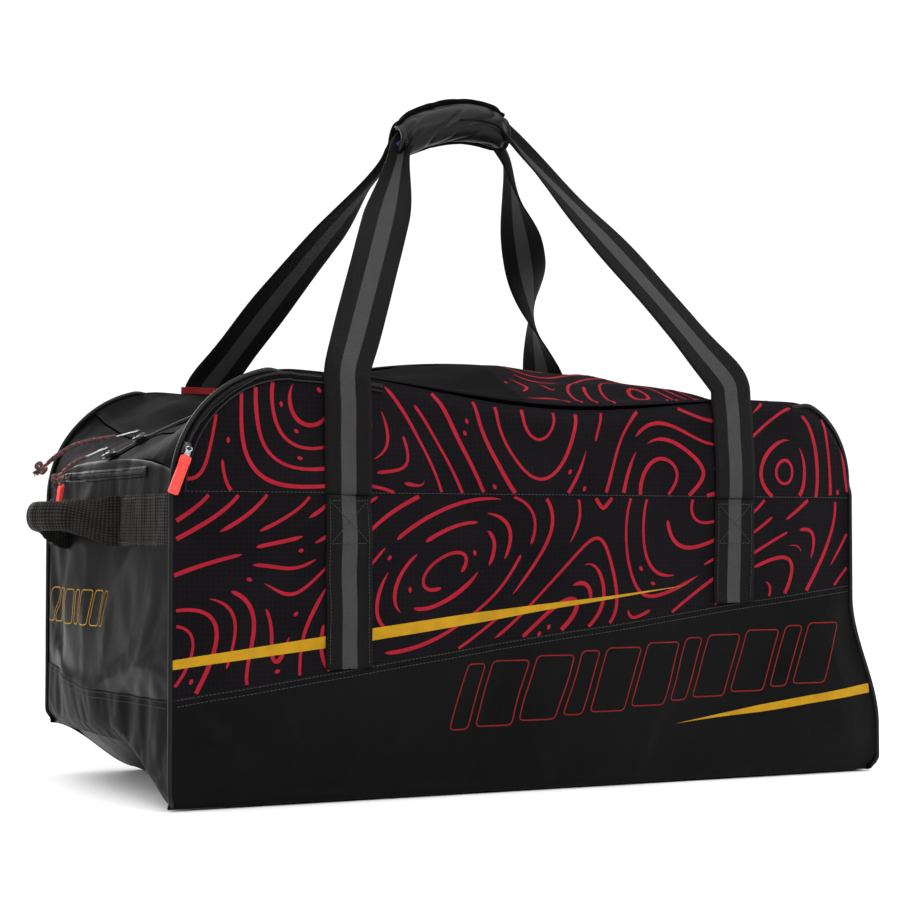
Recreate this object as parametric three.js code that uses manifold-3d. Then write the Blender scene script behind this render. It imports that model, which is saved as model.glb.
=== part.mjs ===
// A hockey equipment carry bag: sewn panels round an open compartment, two top flaps closed by an
// arched two-way zipper, two webbing carry handles that meet in a padded grip, a webbing loop on
// each end, and two zipped pockets. Millimetres, +X along the bag, +Y to the rear, +Z up. The
// origin is on the underside of the base.
import * as THREE from "three";
import { mergeVertices } from "three/addons/utils/BufferGeometryUtils.js";
import Module from "manifold-3d";

const wasm = await Module();
wasm.setup();

// Driving dimensions of the body
const LEFT_END = -450;
const RIGHT_END = 450; // of the upper part; the lower right corner spreads further
const RIGHT_FOOT_SPREAD = 40;
const RIGHT_SPREAD_FROM_Z = 60;
const RIGHT_SPREAD_TO_Z = 220;
const HALF_WIDTH = 225;
const CLOTH = 4; // a panel with its lining
const GAP = 0.3; // between sewn neighbours
const HEM = 3.5; // between the base and the panels that stand on it
const SEAM_Z = 342; // straight seam between the middle and upper panels
const LOWER_SEAM_LEFT_Z = 121; // the sloping seam's height at the left end
const LOWER_SEAM_SLOPE = 0.14;
const LOWER_SEAM_BEND = 1.25e-5;
const END_SEAM_NEAR_Z = 120;
const END_SEAM_RISE = 20;
const LEFT_SHOULDER = 140; // radius of the round top left corner
const LEFT_CREST_X = LEFT_END + LEFT_SHOULDER;
const LEFT_CREST_Z = SEAM_Z + LEFT_SHOULDER;
const RIGHT_SHOULDER_X = 85;
const RIGHT_SHOULDER_Z = 100;
const RIGHT_CREST_X = RIGHT_END - RIGHT_SHOULDER_X;
const RIGHT_CREST_Z = 464;
const TOP_SAG = 27; // of the long top edges between their two crests
const END_BULGE = 18;
const END_BULGE_HEIGHT = 380;
const LIFT = 62; // the slack left end of the base is off the floor
const LIFT_FROM_X = -330;
const LIFT_FULL_Y = -60;

// The arched main zipper
const ARCH_X = 20;
const ARCH_Z = -420;
const ARCH_R = 930;
const FLAP_LEFT = -394;
const FLAP_RIGHT = 400;
const FLAP_HALF_WIDTH = 110;
const CHAIN_WIDTH = 8; // of each half
const CHAIN_HEIGHT = 2.5;

// Zipper sliders and their tabs
const SLIDER_LENGTH = 16;
const SLIDER_WIDTH = 11;
const SLIDER_HEIGHT = 5;
const POST_LENGTH = 3.5;
const POST_WIDTH = 3.6;
const POST_HEIGHT = 7;
const PIVOT_HEIGHT = SLIDER_HEIGHT + 5.5;
const TAB_FORK_END = 2.4; // the prongs reach this far past the pivot
const TAB_FORK_DEPTH = 2.8; // the slot's end is this far before the pivot
const TAB_FORK_GAP = 4.6;
const TAB_WIDTH = 9;
const TAB_THICKNESS = 2;
const MAIN_TAB_LENGTH = 26;
const SHORT_TAB_LENGTH = 8;
const PULL_LENGTH = 44;
const PULL_WIDTH = 11;
const PULL_THICKNESS = 4.5;
const MAIN_SLIDERS = [
  { name: "upper", angle: -27.3, tilt: 12 },
  { name: "lower", angle: -29.9, tilt: 6 },
];
const CORD_RADIUS = 2;
const CORD_PACE = 10;
const TUBE_SIDES = 8;

// Front pocket zipper, round the left shoulder of the front face
const POCKET_BAND = 13.5;
const POCKET_END_X = -200;
const POCKET_SLIDER_ANGLE = 159; // round the shoulder's centre, from +X towards +Z
// End pocket zipper, along the top of the left end
const END_POCKET_Z = 367;
const END_POCKET_HALF = 150;
const END_POCKET_BAND = 12;
const END_SLIDER_Y = 120;
const END_PULL_TILT = 8;

// Webbing
const WEBBING_WIDTH = 57;
const WEBBING = 3;
const STRAP_LEFT_X = -245;
const STRAP_RIGHT_X = 271.5;
const STRAP_FOLD_Z = 480; // where a strap leaves the face and leans in to the grip
const STRAP_NECK_X = 118; // the legs' upper ends
const STRAP_NECK_FROM_TOP = 36;
const GRIP_Z = 812;
const GRIP_HALF_LENGTH = 78;
const GRIP_OUTER_R = 25;
const GRIP_INNER_R = 17;
const GRIP_PARTING = 0.5;
const RUN_HALF_WIDTH = 10;
const RUN_Y = 7.2;
const END_WEBBING_LOW_Z = 284;
const END_WEBBING_HIGH_Z = SEAM_Z;
const LOOP_ROOT_X = 469;
const LOOP_REACH = 71;
const LOOP_CENTRE_Y = 15;
const LOOP_HALF_WIDTH = 85;
const LOOP_WEBBING = 5;
const LOOP_HEIGHT = 24;
const LOOP_LOW_Z = 291;

const PIPING_R = 3.2;
const PIPING_OUT = 2.8;
const PIPING_PACE = 24;
const LABEL_X = -255;

// Materials
const cloth = (color, roughness) => new THREE.MeshStandardMaterial({ color, roughness, metalness: 0 });
const polyester = cloth(0x17131a, 0.85);
const tarpaulin = cloth(0x131315, 0.4);
const lining = cloth(0x1d1d20, 0.9);
const webbing = cloth(0x121212, 0.8);
const redRubber = cloth(0xe0261c, 0.5);
const redLabel = cloth(0xa01622, 0.7);
const piping = cloth(0x1a1a1c, 0.35);
const zipperCoil = cloth(0x0c0c0d, 0.6);
const paracord = cloth(0x17090b, 0.9);
const silver = new THREE.MeshStandardMaterial({ color: 0xb9bcc0, roughness: 0.3, metalness: 1 });

// Formulas that the panels share
const radians = THREE.MathUtils.degToRad;
const mix = THREE.MathUtils.lerp;
const smooth = THREE.MathUtils.smoothstep;

function arc(x, centreX, radiusX, baseZ, radiusZ) {
  return baseZ + radiusZ * Math.sqrt(Math.max(0, 1 - ((x - centreX) / radiusX) ** 2));
}

// Height of the front and rear faces' top edge
function edgeHeight(x) {
  if (x < LEFT_CREST_X) return arc(x, LEFT_CREST_X, LEFT_SHOULDER, SEAM_Z, LEFT_SHOULDER);
  if (x > RIGHT_CREST_X) {
    const base = RIGHT_CREST_Z - RIGHT_SHOULDER_Z;
    return arc(x, RIGHT_CREST_X, RIGHT_SHOULDER_X, base, RIGHT_SHOULDER_Z);
  }
  const share = (x - LEFT_CREST_X) / (RIGHT_CREST_X - LEFT_CREST_X);
  return mix(LEFT_CREST_Z, RIGHT_CREST_Z, share) - TOP_SAG * Math.sin(Math.PI * share) ** 2;
}

// The top: the zipper's arch along the middle, flat across the flaps, meeting the two long edges
function topHeight(x, y) {
  const crown = arc(x, ARCH_X, ARCH_R, ARCH_Z, ARCH_R);
  return mix(crown, edgeHeight(x), Math.abs(y / HALF_WIDTH) ** 3);
}

function rightEdge(z) {
  return RIGHT_END + RIGHT_FOOT_SPREAD * (1 - smooth(z, RIGHT_SPREAD_FROM_Z, RIGHT_SPREAD_TO_Z));
}

function lowerSeam(x) {
  const along = x - LEFT_END;
  return LOWER_SEAM_LEFT_Z + LOWER_SEAM_SLOPE * along - LOWER_SEAM_BEND * along ** 2;
}

const endSeam = (y) => END_SEAM_NEAR_Z + END_SEAM_RISE * smooth(y, 0, HALF_WIDTH);

function lift(x, y) {
  return LIFT * smooth(-x, -LIFT_FROM_X, -LEFT_END) * smooth(y, -HALF_WIDTH, LIFT_FULL_Y);
}

function endBulge(y, z) {
  const rise = Math.sin(Math.PI * THREE.MathUtils.clamp(z / END_BULGE_HEIGHT, 0, 1));
  return END_BULGE * rise * (1 - (y / HALF_WIDTH) ** 2);
}

// Geometry helpers
const count = (n, make) => Array.from({ length: n }, (_, i) => make(i));
const steps = (from, to, n) => count(n + 1, (i) => mix(from, to, i / n));

function closed(geometry) {
  const bare = geometry.clone();
  bare.deleteAttribute("normal");
  bare.deleteAttribute("uv");
  return mergeVertices(bare, 1e-3);
}

function toSolid(geometry) {
  const merged = closed(geometry);
  const vertProperties = merged.attributes.position.array;
  const triVerts = new Uint32Array(merged.index.array);
  return new wasm.Manifold(new wasm.Mesh({ numProp: 3, vertProperties, triVerts }));
}

function toGeometry(solid) {
  const { vertProperties, triVerts } = solid.getMesh();
  const geometry = new THREE.BufferGeometry();
  geometry.setAttribute("position", new THREE.BufferAttribute(vertProperties, 3));
  geometry.setIndex(new THREE.BufferAttribute(triVerts, 1));
  geometry.computeVertexNormals();
  return geometry;
}

const joined = (first, ...others) =>
  toGeometry(others.reduce((solid, other) => solid.add(toSolid(other)), toSolid(first)));

function box(lengthX, lengthY, lengthZ, x = 0, y = 0, z = 0) {
  return new THREE.BoxGeometry(lengthX, lengthY, lengthZ).translate(x, y, z);
}

function meshVolume(positions, index) {
  const corner = (i) => new THREE.Vector3().fromArray(positions, 3 * index[i]);
  let six = 0;
  for (let i = 0; i < index.length; i += 3) {
    six += corner(i).dot(corner(i + 1).cross(corner(i + 2)));
  }
  return six / 6;
}

// A closed sheet between two grids of points, each made by a function of u and v from 0 to 1
function sheet(outer, inner, across, along) {
  const positions = [];
  for (const surface of [outer, inner]) {
    for (let i = 0; i <= across; i++) {
      for (let j = 0; j <= along; j++) positions.push(...surface(i / across, j / along));
    }
  }
  const at = (side, i, j) => (side * (across + 1) + i) * (along + 1) + j;
  const index = [];
  const quad = (a, b, c, d) => index.push(a, b, c, a, c, d);
  for (let i = 0; i < across; i++) {
    for (let j = 0; j < along; j++) {
      quad(at(0, i, j), at(0, i + 1, j), at(0, i + 1, j + 1), at(0, i, j + 1));
      quad(at(1, i, j), at(1, i, j + 1), at(1, i + 1, j + 1), at(1, i + 1, j));
    }
    quad(at(0, i, 0), at(1, i, 0), at(1, i + 1, 0), at(0, i + 1, 0));
    quad(at(0, i, along), at(0, i + 1, along), at(1, i + 1, along), at(1, i, along));
  }
  for (let j = 0; j < along; j++) {
    quad(at(0, 0, j), at(0, 0, j + 1), at(1, 0, j + 1), at(1, 0, j));
    quad(at(0, across, j), at(1, across, j), at(1, across, j + 1), at(0, across, j + 1));
  }
  if (meshVolume(positions, index) < 0) index.reverse();
  const geometry = new THREE.BufferGeometry();
  geometry.setAttribute("position", new THREE.Float32BufferAttribute(positions, 3));
  geometry.setIndex(index);
  geometry.computeVertexNormals();
  return geometry;
}

function extruded(points, depth) {
  const shape = new THREE.Shape(points.map(([a, b]) => new THREE.Vector2(a, b)));
  return new THREE.ExtrudeGeometry(shape, { depth, bevelEnabled: false });
}

// An outline in X and Z, made solid from the plane y = from towards -Y
const plateXZ = (points, from, depth) => extruded(points, depth).rotateX(Math.PI / 2).translate(0, from, 0);

// A round bar along a smooth curve through the points
function tube(points, radius, pace) {
  const path = new THREE.CatmullRomCurve3(points.map((p) => new THREE.Vector3(...p)));
  const section = count(TUBE_SIDES, (i) => {
    const angle = (2 * Math.PI * i) / TUBE_SIDES;
    return new THREE.Vector2(radius * Math.cos(angle), radius * Math.sin(angle));
  });
  const lengths = Math.round(path.getLength() / pace);
  return new THREE.ExtrudeGeometry(new THREE.Shape(section), { steps: lengths, extrudePath: path });
}

const bag = new THREE.Group();

function add(name, geometry, material, parent = bag) {
  const mesh = new THREE.Mesh(geometry, material);
  mesh.name = name;
  parent.add(mesh);
  return mesh;
}

// Base, front and rear panels
function addBase() {
  const surface = (raise) => (u, v) => {
    const x = mix(LEFT_END + 0.5, RIGHT_END + RIGHT_FOOT_SPREAD - 0.5, u);
    const y = mix(-HALF_WIDTH + 0.5, HALF_WIDTH - 0.5, v);
    return [x, y, lift(x, y) + raise];
  };
  add("base_panel", sheet(surface(0), surface(CLOTH), 24, 8), tarpaulin);
}

const lowerSeamPoints = (offset) =>
  steps(LEFT_END, rightEdge(lowerSeam(RIGHT_END)), 6).map((x) => [x, lowerSeam(x) + offset]);

const topEdgePoints = (from, to, n) => steps(from, to, n).map((x) => [x, edgeHeight(x)]);

function leftShoulderPoints(radius, n) {
  return steps(180, 90, n).map((degrees) => {
    const angle = radians(degrees);
    return [LEFT_CREST_X + radius * Math.cos(angle), SEAM_Z + GAP / 2 + radius * Math.sin(angle)];
  });
}

function rightShoulderPoints(n) {
  return steps(90, 0, n).map((degrees) => {
    const angle = radians(degrees);
    const base = RIGHT_CREST_Z - RIGHT_SHOULDER_Z;
    return [RIGHT_CREST_X + RIGHT_SHOULDER_X * Math.cos(angle), base + RIGHT_SHOULDER_Z * Math.sin(angle)];
  });
}

function addFace(side, sideName) {
  const from = side < 0 ? -HALF_WIDTH + CLOTH : HALF_WIDTH;
  const bottom = steps(LEFT_END, LIFT_FROM_X, 6).map((x) => [x, lift(x, side * HALF_WIDTH) + CLOTH + HEM]);
  const foot = CLOTH + HEM;
  const rightLow = steps(foot, lowerSeam(RIGHT_END), 6).map((z) => [rightEdge(z), z]);
  const lower = [...bottom, ...rightLow.slice(0, -1), ...lowerSeamPoints(-GAP / 2).reverse()];
  add(sideName + "_lower_panel", plateXZ(lower, from, CLOTH), tarpaulin);

  const straight = SEAM_Z - GAP / 2;
  const middle = [...lowerSeamPoints(GAP / 2), [RIGHT_END, straight], [LEFT_END, straight]];
  add(sideName + "_middle_panel", plateXZ(middle, from, CLOTH), polyester);

  const right = [...rightShoulderPoints(8), [RIGHT_END, SEAM_Z + GAP / 2]];
  const inset = POCKET_BAND + GAP;
  const left =
    side > 0
      ? [
          ...leftShoulderPoints(LEFT_SHOULDER, 10),
          ...topEdgePoints(LEFT_CREST_X, RIGHT_CREST_X, 12).slice(1, -1),
        ]
      : [
          ...leftShoulderPoints(LEFT_SHOULDER - inset, 10),
          ...topEdgePoints(LEFT_CREST_X, POCKET_END_X + GAP, 4).slice(1).map(([x, z]) => [x, z - inset]),
          ...topEdgePoints(POCKET_END_X + GAP, RIGHT_CREST_X, 10).slice(0, -1),
        ];
  add(sideName + "_upper_panel", plateXZ([...left, ...right].reverse(), from, CLOTH), polyester);
}

// Ends
function addEnd(side, sideName) {
  const sideways = HALF_WIDTH - CLOTH - 0.5;
  const edge = (z) => (side < 0 ? LEFT_END : rightEdge(z));
  const panel = (low, high, depth) => (u, v) => {
    const y = mix(-sideways, sideways, u);
    const z = mix(low(y), high(y), v);
    return [edge(z) + side * (endBulge(y, z) - depth), y, z];
  };
  const parts = {
    lower: [(y) => lift(side * RIGHT_END, y) + CLOTH + HEM, (y) => endSeam(y) - GAP / 2],
    upper: [(y) => endSeam(y) + GAP / 2, (y) => topHeight(side * (RIGHT_END - CLOTH / 2), y)],
  };
  for (const [name, [low, high]] of Object.entries(parts)) {
    const geometry = sheet(panel(low, high, 0), panel(low, high, CLOTH), 8, 5);
    add(sideName + "_end_" + name + "_panel", geometry, tarpaulin);
  }
}

// Top
function topSheet(fromX, toX, fromY, toY, across, along, drop = 0) {
  const surface = (depth) => (u, v) => {
    const x = mix(fromX, toX, u);
    const y = mix(fromY, toY, v);
    return [x, y, topHeight(x, y) - depth];
  };
  return sheet(surface(drop), surface(drop + CLOTH), across, along);
}

function addTop() {
  const inner = RIGHT_END - CLOTH - GAP;
  for (const [side, name] of [[-1, "front"], [1, "rear"]]) {
    const near = side * (FLAP_HALF_WIDTH + 0.5);
    const far = side * (HALF_WIDTH - CLOTH - GAP);
    add(name + "_top_gusset", topSheet(-inner, inner, near, far, 28, 4), polyester);
  }
  const across = FLAP_HALF_WIDTH - 0.5;
  add("left_top_end", topSheet(-inner, FLAP_LEFT - 0.5, -across, across, 3, 6), tarpaulin);
  add("right_top_end", topSheet(FLAP_RIGHT + 0.5, inner, -across, across, 3, 6), polyester);
}

// Half of the zipper chain, or its closed end, on the arch
function chain(fromX, toX, fromY, toY) {
  const atRadius = (radius) => (x) => [x, arc(x, ARCH_X, radius, ARCH_Z, radius)];
  const xs = steps(fromX, toX, Math.max(2, Math.round((toX - fromX) / 40)));
  const low = xs.map(atRadius(ARCH_R + 0.4));
  const high = xs.map(atRadius(ARCH_R + 0.4 + CHAIN_HEIGHT));
  return plateXZ([...low, ...high.reverse()], toY, toY - fromY);
}

function addZipper() {
  for (const [side, name] of [[-1, "front"], [1, "rear"]]) {
    const [low, high] = [side * GAP, side * (FLAP_HALF_WIDTH - 0.5)].sort((a, b) => a - b);
    const flap = topSheet(FLAP_LEFT, FLAP_RIGHT, low, high, 20, 3);
    add(name + "_flap_panel", flap, polyester);
    const [near, far] = [side * GAP, side * (CHAIN_WIDTH + GAP)].sort((a, b) => a - b);
    add(name + "_zip_chain", chain(FLAP_LEFT, FLAP_RIGHT, near, far), zipperCoil);
  }
  const half = CHAIN_WIDTH + GAP;
  add("left_zip_end", chain(LEFT_END + 4, FLAP_LEFT - 0.5, -half, half), zipperCoil);
  add("right_zip_end", chain(FLAP_RIGHT + 0.5, RIGHT_END - 4, -half, half), zipperCoil);
}

// A slider lies with its tape below it and its tab towards -X; its post goes through the tab's ring
function sliderGeometry(length, width) {
  const body = box(length, width, SLIDER_HEIGHT, 0, 0, SLIDER_HEIGHT / 2);
  const height = SLIDER_HEIGHT + POST_HEIGHT;
  return joined(body, box(POST_LENGTH, POST_WIDTH, height - 1, 0, 0, (height + 1) / 2));
}

// A flat metal tab, forked round the slider's post and turning about its pivot
function tabGeometry(length) {
  const plate = box(length + TAB_FORK_END, TAB_WIDTH, TAB_THICKNESS, (TAB_FORK_END - length) / 2);
  const middle = (2 * TAB_FORK_END - TAB_FORK_DEPTH) / 2;
  const slot = toSolid(box(TAB_FORK_DEPTH + 2 * TAB_FORK_END, TAB_FORK_GAP, 2 * TAB_THICKNESS, middle));
  return toGeometry(toSolid(plate).subtract(slot));
}

function rubberPull() {
  const middle = -SHORT_TAB_LENGTH - GAP - PULL_LENGTH / 2;
  return box(PULL_LENGTH, PULL_WIDTH, PULL_THICKNESS, middle);
}

function addMainSliders() {
  for (const { name, angle, tilt } of MAIN_SLIDERS) {
    const place = new THREE.Group();
    const radius = ARCH_R + 0.4 + CHAIN_HEIGHT + 0.4;
    const turn = radians(angle);
    place.position.set(ARCH_X + radius * Math.sin(turn), 0, ARCH_Z + radius * Math.cos(turn));
    place.rotation.y = turn;
    bag.add(place);
    add("main_slider_" + name, sliderGeometry(SLIDER_LENGTH, SLIDER_WIDTH), silver, place);
    const tab = add("main_tab_" + name, tabGeometry(MAIN_TAB_LENGTH), silver, place);
    tab.position.z = PIVOT_HEIGHT;
    tab.rotation.y = radians(tilt);
  }
}

function addPocketZips() {
  const low = leftShoulderPoints(LEFT_SHOULDER - POCKET_BAND, 12).slice(0, -1);
  const top = topEdgePoints(LEFT_CREST_X, POCKET_END_X, 4);
  const outer = [...leftShoulderPoints(LEFT_SHOULDER, 12).slice(0, -1), ...top];
  const inner = [...low, ...top.map(([x, z]) => [x, z - POCKET_BAND])];
  const band = plateXZ([...inner, ...outer.reverse()], -HALF_WIDTH + CLOTH, CLOTH);
  add("front_pocket_zip", band, zipperCoil);

  const surface = (depth) => (u, v) => {
    const y = mix(-END_POCKET_HALF, END_POCKET_HALF, u);
    const z = END_POCKET_Z + mix(-END_POCKET_BAND / 2, END_POCKET_BAND / 2, v);
    return [LEFT_END - endBulge(y, z) - depth, y, z];
  };
  add("end_pocket_zip", sheet(surface(2.2), surface(0.8), 8, 1), zipperCoil);
}

function addPocketSlider(name, position, tabwards, outwards, length, width, tilt) {
  const place = new THREE.Group();
  const x = tabwards.clone().negate();
  const basis = new THREE.Matrix4().makeBasis(x, outwards.clone().cross(x), outwards);
  place.quaternion.setFromRotationMatrix(basis);
  place.position.copy(position);
  bag.add(place);
  add(name + "_slider", sliderGeometry(length, width), zipperCoil, place);
  const hang = new THREE.Group();
  hang.position.z = PIVOT_HEIGHT;
  hang.rotation.y = radians(tilt);
  place.add(hang);
  add(name + "_tab", tabGeometry(SHORT_TAB_LENGTH), silver, hang);
  add(name + "_pull", rubberPull(), redRubber, hang);
}

function addPocketSliders() {
  const angle = radians(POCKET_SLIDER_ANGLE);
  const radius = LEFT_SHOULDER - POCKET_BAND / 2;
  const onBand = new THREE.Vector3(
    LEFT_CREST_X + radius * Math.cos(angle),
    -HALF_WIDTH - 0.5,
    SEAM_Z + radius * Math.sin(angle),
  );
  const downBand = new THREE.Vector3(-Math.sin(angle), 0, Math.cos(angle));
  const forwards = new THREE.Vector3(0, -1, 0);
  addPocketSlider("front_pocket", onBand, downBand, forwards, 14, 10, 0);
  const onEnd = new THREE.Vector3(LEFT_END - 5.4, END_SLIDER_Y, END_POCKET_Z);
  const down = new THREE.Vector3(0, 0, -1);
  const left = new THREE.Vector3(-1, 0, 0);
  addPocketSlider("end_pocket", onEnd, down, left, 10, 14, END_PULL_TILT);
}

// Paracord on the two main tabs: a short cord with a knotted, frayed end
const CORDS = {
  upper: {
    route: [
      [-439.6, 0.4, 411.5],
      [-447, 6, 410],
      [-458, 10, 407.5],
      [-485, 12, 401],
      [-506, 12, 388],
      [-517, 12, 379.5],
    ],
    knot: [-525.5, 12, 372.5],
    lean: 40,
  },
  lower: {
    route: [
      [-475.2, 0, 387.5],
      [-484, -4, 384.4],
      [-497, -8, 377],
      [-505.5, -10, 368],
    ],
    knot: [-511.5, -11, 358.5],
    lean: 58,
  },
};

function addCords() {
  for (const [name, { route, knot, lean }] of Object.entries(CORDS)) {
    add("main_cord_" + name, tube(route, CORD_RADIUS, CORD_PACE), paracord);
    const ball = closed(new THREE.SphereGeometry(6.5, 10, 8)).scale(1.3, 1, 1);
    const mesh = add("main_cord_knot_" + name, ball, paracord);
    mesh.position.set(...knot);
    mesh.rotation.y = radians(-lean);
  }
}

// Webbing carry handles: sewn runs up each face, then a free strap that bends in over the top
function addCarryHandle(side, name) {
  const outside = HALF_WIDTH + 0.4;
  const half = WEBBING_WIDTH / 2;
  for (const [x, end] of [[STRAP_LEFT_X, "left"], [STRAP_RIGHT_X, "right"]]) {
    const sewn = [
      [x - half, lowerSeam(x - half)],
      [x + half, lowerSeam(x + half)],
      [x + half, SEAM_Z - GAP],
      [x - half, SEAM_Z - GAP],
    ];
    const from = side < 0 ? -outside : outside + WEBBING;
    add(name + "_" + end + "_strap_base", plateXZ(sewn, from, WEBBING), webbing);
  }

  const foldY = outside + WEBBING / 2;
  const rise = GRIP_Z - STRAP_FOLD_Z;
  const lean = Math.atan2(foldY - RUN_Y, rise);
  const reach = Math.hypot(foldY - RUN_Y, rise);
  const leg = (footX, sign) => {
    const neck = new THREE.Vector2(sign * STRAP_NECK_X, reach - STRAP_NECK_FROM_TOP);
    const along = neck.clone().sub(new THREE.Vector2(footX, 0)).normalize();
    const across = new THREE.Vector2(-along.y, along.x).multiplyScalar(sign < 0 ? half : -half);
    const outer = neck.clone().add(across);
    const inner = neck.clone().sub(across);
    return { outer: [outer.x, outer.y], inner: [inner.x, inner.y], foot: footX };
  };
  const left = leg(STRAP_LEFT_X, -1);
  const right = leg(STRAP_RIGHT_X, 1);
  const runEnd = GRIP_HALF_LENGTH + 4;
  const outline = [
    [left.foot - half, -3],
    [left.foot + half, -3],
    left.inner,
    [-runEnd, reach - RUN_HALF_WIDTH],
    [runEnd, reach - RUN_HALF_WIDTH],
    right.inner,
    [right.foot - half, -3],
    [right.foot + half, -3],
    right.outer,
    [runEnd, reach + RUN_HALF_WIDTH],
    [-runEnd, reach + RUN_HALF_WIDTH],
    left.outer,
  ];
  const leaning = extruded(outline, WEBBING)
    .translate(0, 0, -WEBBING / 2)
    .rotateX(Math.PI / 2 + side * lean)
    .translate(0, side * foldY, STRAP_FOLD_Z);
  const legHeight = STRAP_FOLD_Z + 1.5 - (SEAM_Z + GAP);
  const standing = [left.foot, right.foot].map((x) =>
    box(WEBBING_WIDTH, WEBBING, legHeight, x, side * foldY, SEAM_Z + GAP + legHeight / 2),
  );
  add(name + "_handle_strap", joined(leaning, ...standing), webbing);

  const facing = side < 0 ? 180 : 0;
  const flat = (radius) => Math.acos(GRIP_PARTING / radius);
  const ring = (radius) => {
    const spread = THREE.MathUtils.radToDeg(flat(radius));
    return steps(facing - spread, facing + spread, 12).map((degrees) => {
      return [radius * Math.cos(radians(degrees)), radius * Math.sin(radians(degrees))];
    });
  };
  const section = [...ring(GRIP_OUTER_R), ...ring(GRIP_INNER_R).reverse()];
  const alongX = new THREE.Matrix4().set(0, 0, 1, -GRIP_HALF_LENGTH, 1, 0, 0, 0, 0, 1, 0, GRIP_Z, 0, 0, 0, 1);
  const pad = extruded(section, 2 * GRIP_HALF_LENGTH).applyMatrix4(alongX);
  add(name + "_grip_pad", pad, side < 0 ? tarpaulin : polyester);
}

// Webbing grab loops on the ends
function addEndHandle(side, name) {
  const ellipse = (reach, width) =>
    steps(-90, 90, 14).map((degrees) => [
      side * (LOOP_ROOT_X + reach * Math.cos(radians(degrees))),
      LOOP_CENTRE_Y + width * Math.sin(radians(degrees)),
    ]);
  const outer = ellipse(LOOP_REACH, LOOP_HALF_WIDTH);
  const inner = ellipse(LOOP_REACH - LOOP_WEBBING, LOOP_HALF_WIDTH - LOOP_WEBBING);
  const loop = extruded([...outer, ...inner.reverse()], LOOP_HEIGHT).translate(0, 0, LOOP_LOW_Z);
  add(name + "_end_handle", loop, webbing);

  const spans = {
    front: [-HALF_WIDTH + CLOTH + 1, LOOP_CENTRE_Y - LOOP_HALF_WIDTH - 1.5],
    rear: [LOOP_CENTRE_Y + LOOP_HALF_WIDTH + 1.5, HALF_WIDTH - CLOTH - 1],
  };
  for (const [end, [from, to]] of Object.entries(spans)) {
    const surface = (depth) => (u, v) => {
      const y = mix(from, to, u);
      const z = mix(END_WEBBING_LOW_Z, END_WEBBING_HIGH_Z, v);
      return [side * (RIGHT_END + endBulge(y, z) + depth), y, z];
    };
    add(name + "_end_webbing_" + end, sheet(surface(1 + WEBBING), surface(1), 6, 3), webbing);
  }
}

// Piping up each corner and round the shoulder
function addPiping(endSide, faceSide, name) {
  const y = faceSide * (HALF_WIDTH + PIPING_OUT);
  const x = (z) => (endSide < 0 ? LEFT_END - PIPING_OUT : rightEdge(z) + PIPING_OUT);
  const low = LIFT * (endSide < 0 && faceSide > 0 ? 1 : 0) + 8;
  const top = endSide < 0 ? SEAM_Z : RIGHT_CREST_Z - RIGHT_SHOULDER_Z;
  const upright = steps(low, top - 20, endSide < 0 ? 2 : 6).map((z) => [x(z), y, z]);
  const out = PIPING_OUT;
  const round =
    endSide < 0
      ? leftShoulderPoints(LEFT_SHOULDER + out, 8)
      : rightShoulderPoints(8).map(([px, pz]) => [px + out, pz + out]).reverse();
  const shoulder = round.map(([px, pz]) => [px, y, pz]);
  add(name, tube([...upright, ...shoulder], PIPING_R, PIPING_PACE), piping);
}

// Inside walls of the two pockets, and the label on the rear top edge
function addInside() {
  const divider = new THREE.BoxGeometry(2, 2 * (HALF_WIDTH - 15), 300);
  add("end_pocket_divider", divider, lining).position.set(-392, 0, 225);
  const liner = new THREE.BoxGeometry(230, 2, 100);
  add("front_pocket_liner", liner, lining).position.set(-270, -HALF_WIDTH + 20, 385);
  const label = new THREE.BoxGeometry(48, 1.5, 9);
  const z = edgeHeight(LABEL_X) + 5.5;
  add("rear_label_tab", label, redLabel).position.set(LABEL_X, HALF_WIDTH - 8, z);
}

addBase();
for (const [side, name] of [[-1, "front"], [1, "rear"]]) {
  addFace(side, name);
  addCarryHandle(side, name);
}
for (const [side, name] of [[-1, "left"], [1, "right"]]) {
  addEnd(side, name);
  addEndHandle(side, name);
  addPiping(side, -1, name + "_front_piping");
  addPiping(side, 1, name + "_rear_piping");
}
addTop();
addZipper();
addMainSliders();
addPocketZips();
addPocketSliders();
addCords();
addInside();

export default bag;
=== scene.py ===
# A hockey equipment carry bag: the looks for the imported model. Metres, +X along the bag, +Y to the
# rear, +Z up, origin on the underside of the base, as in the model.
import math

import bmesh
import bpy
import numpy as np
from mathutils import Matrix, Vector
from mathutils.bvhtree import BVHTree


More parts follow.
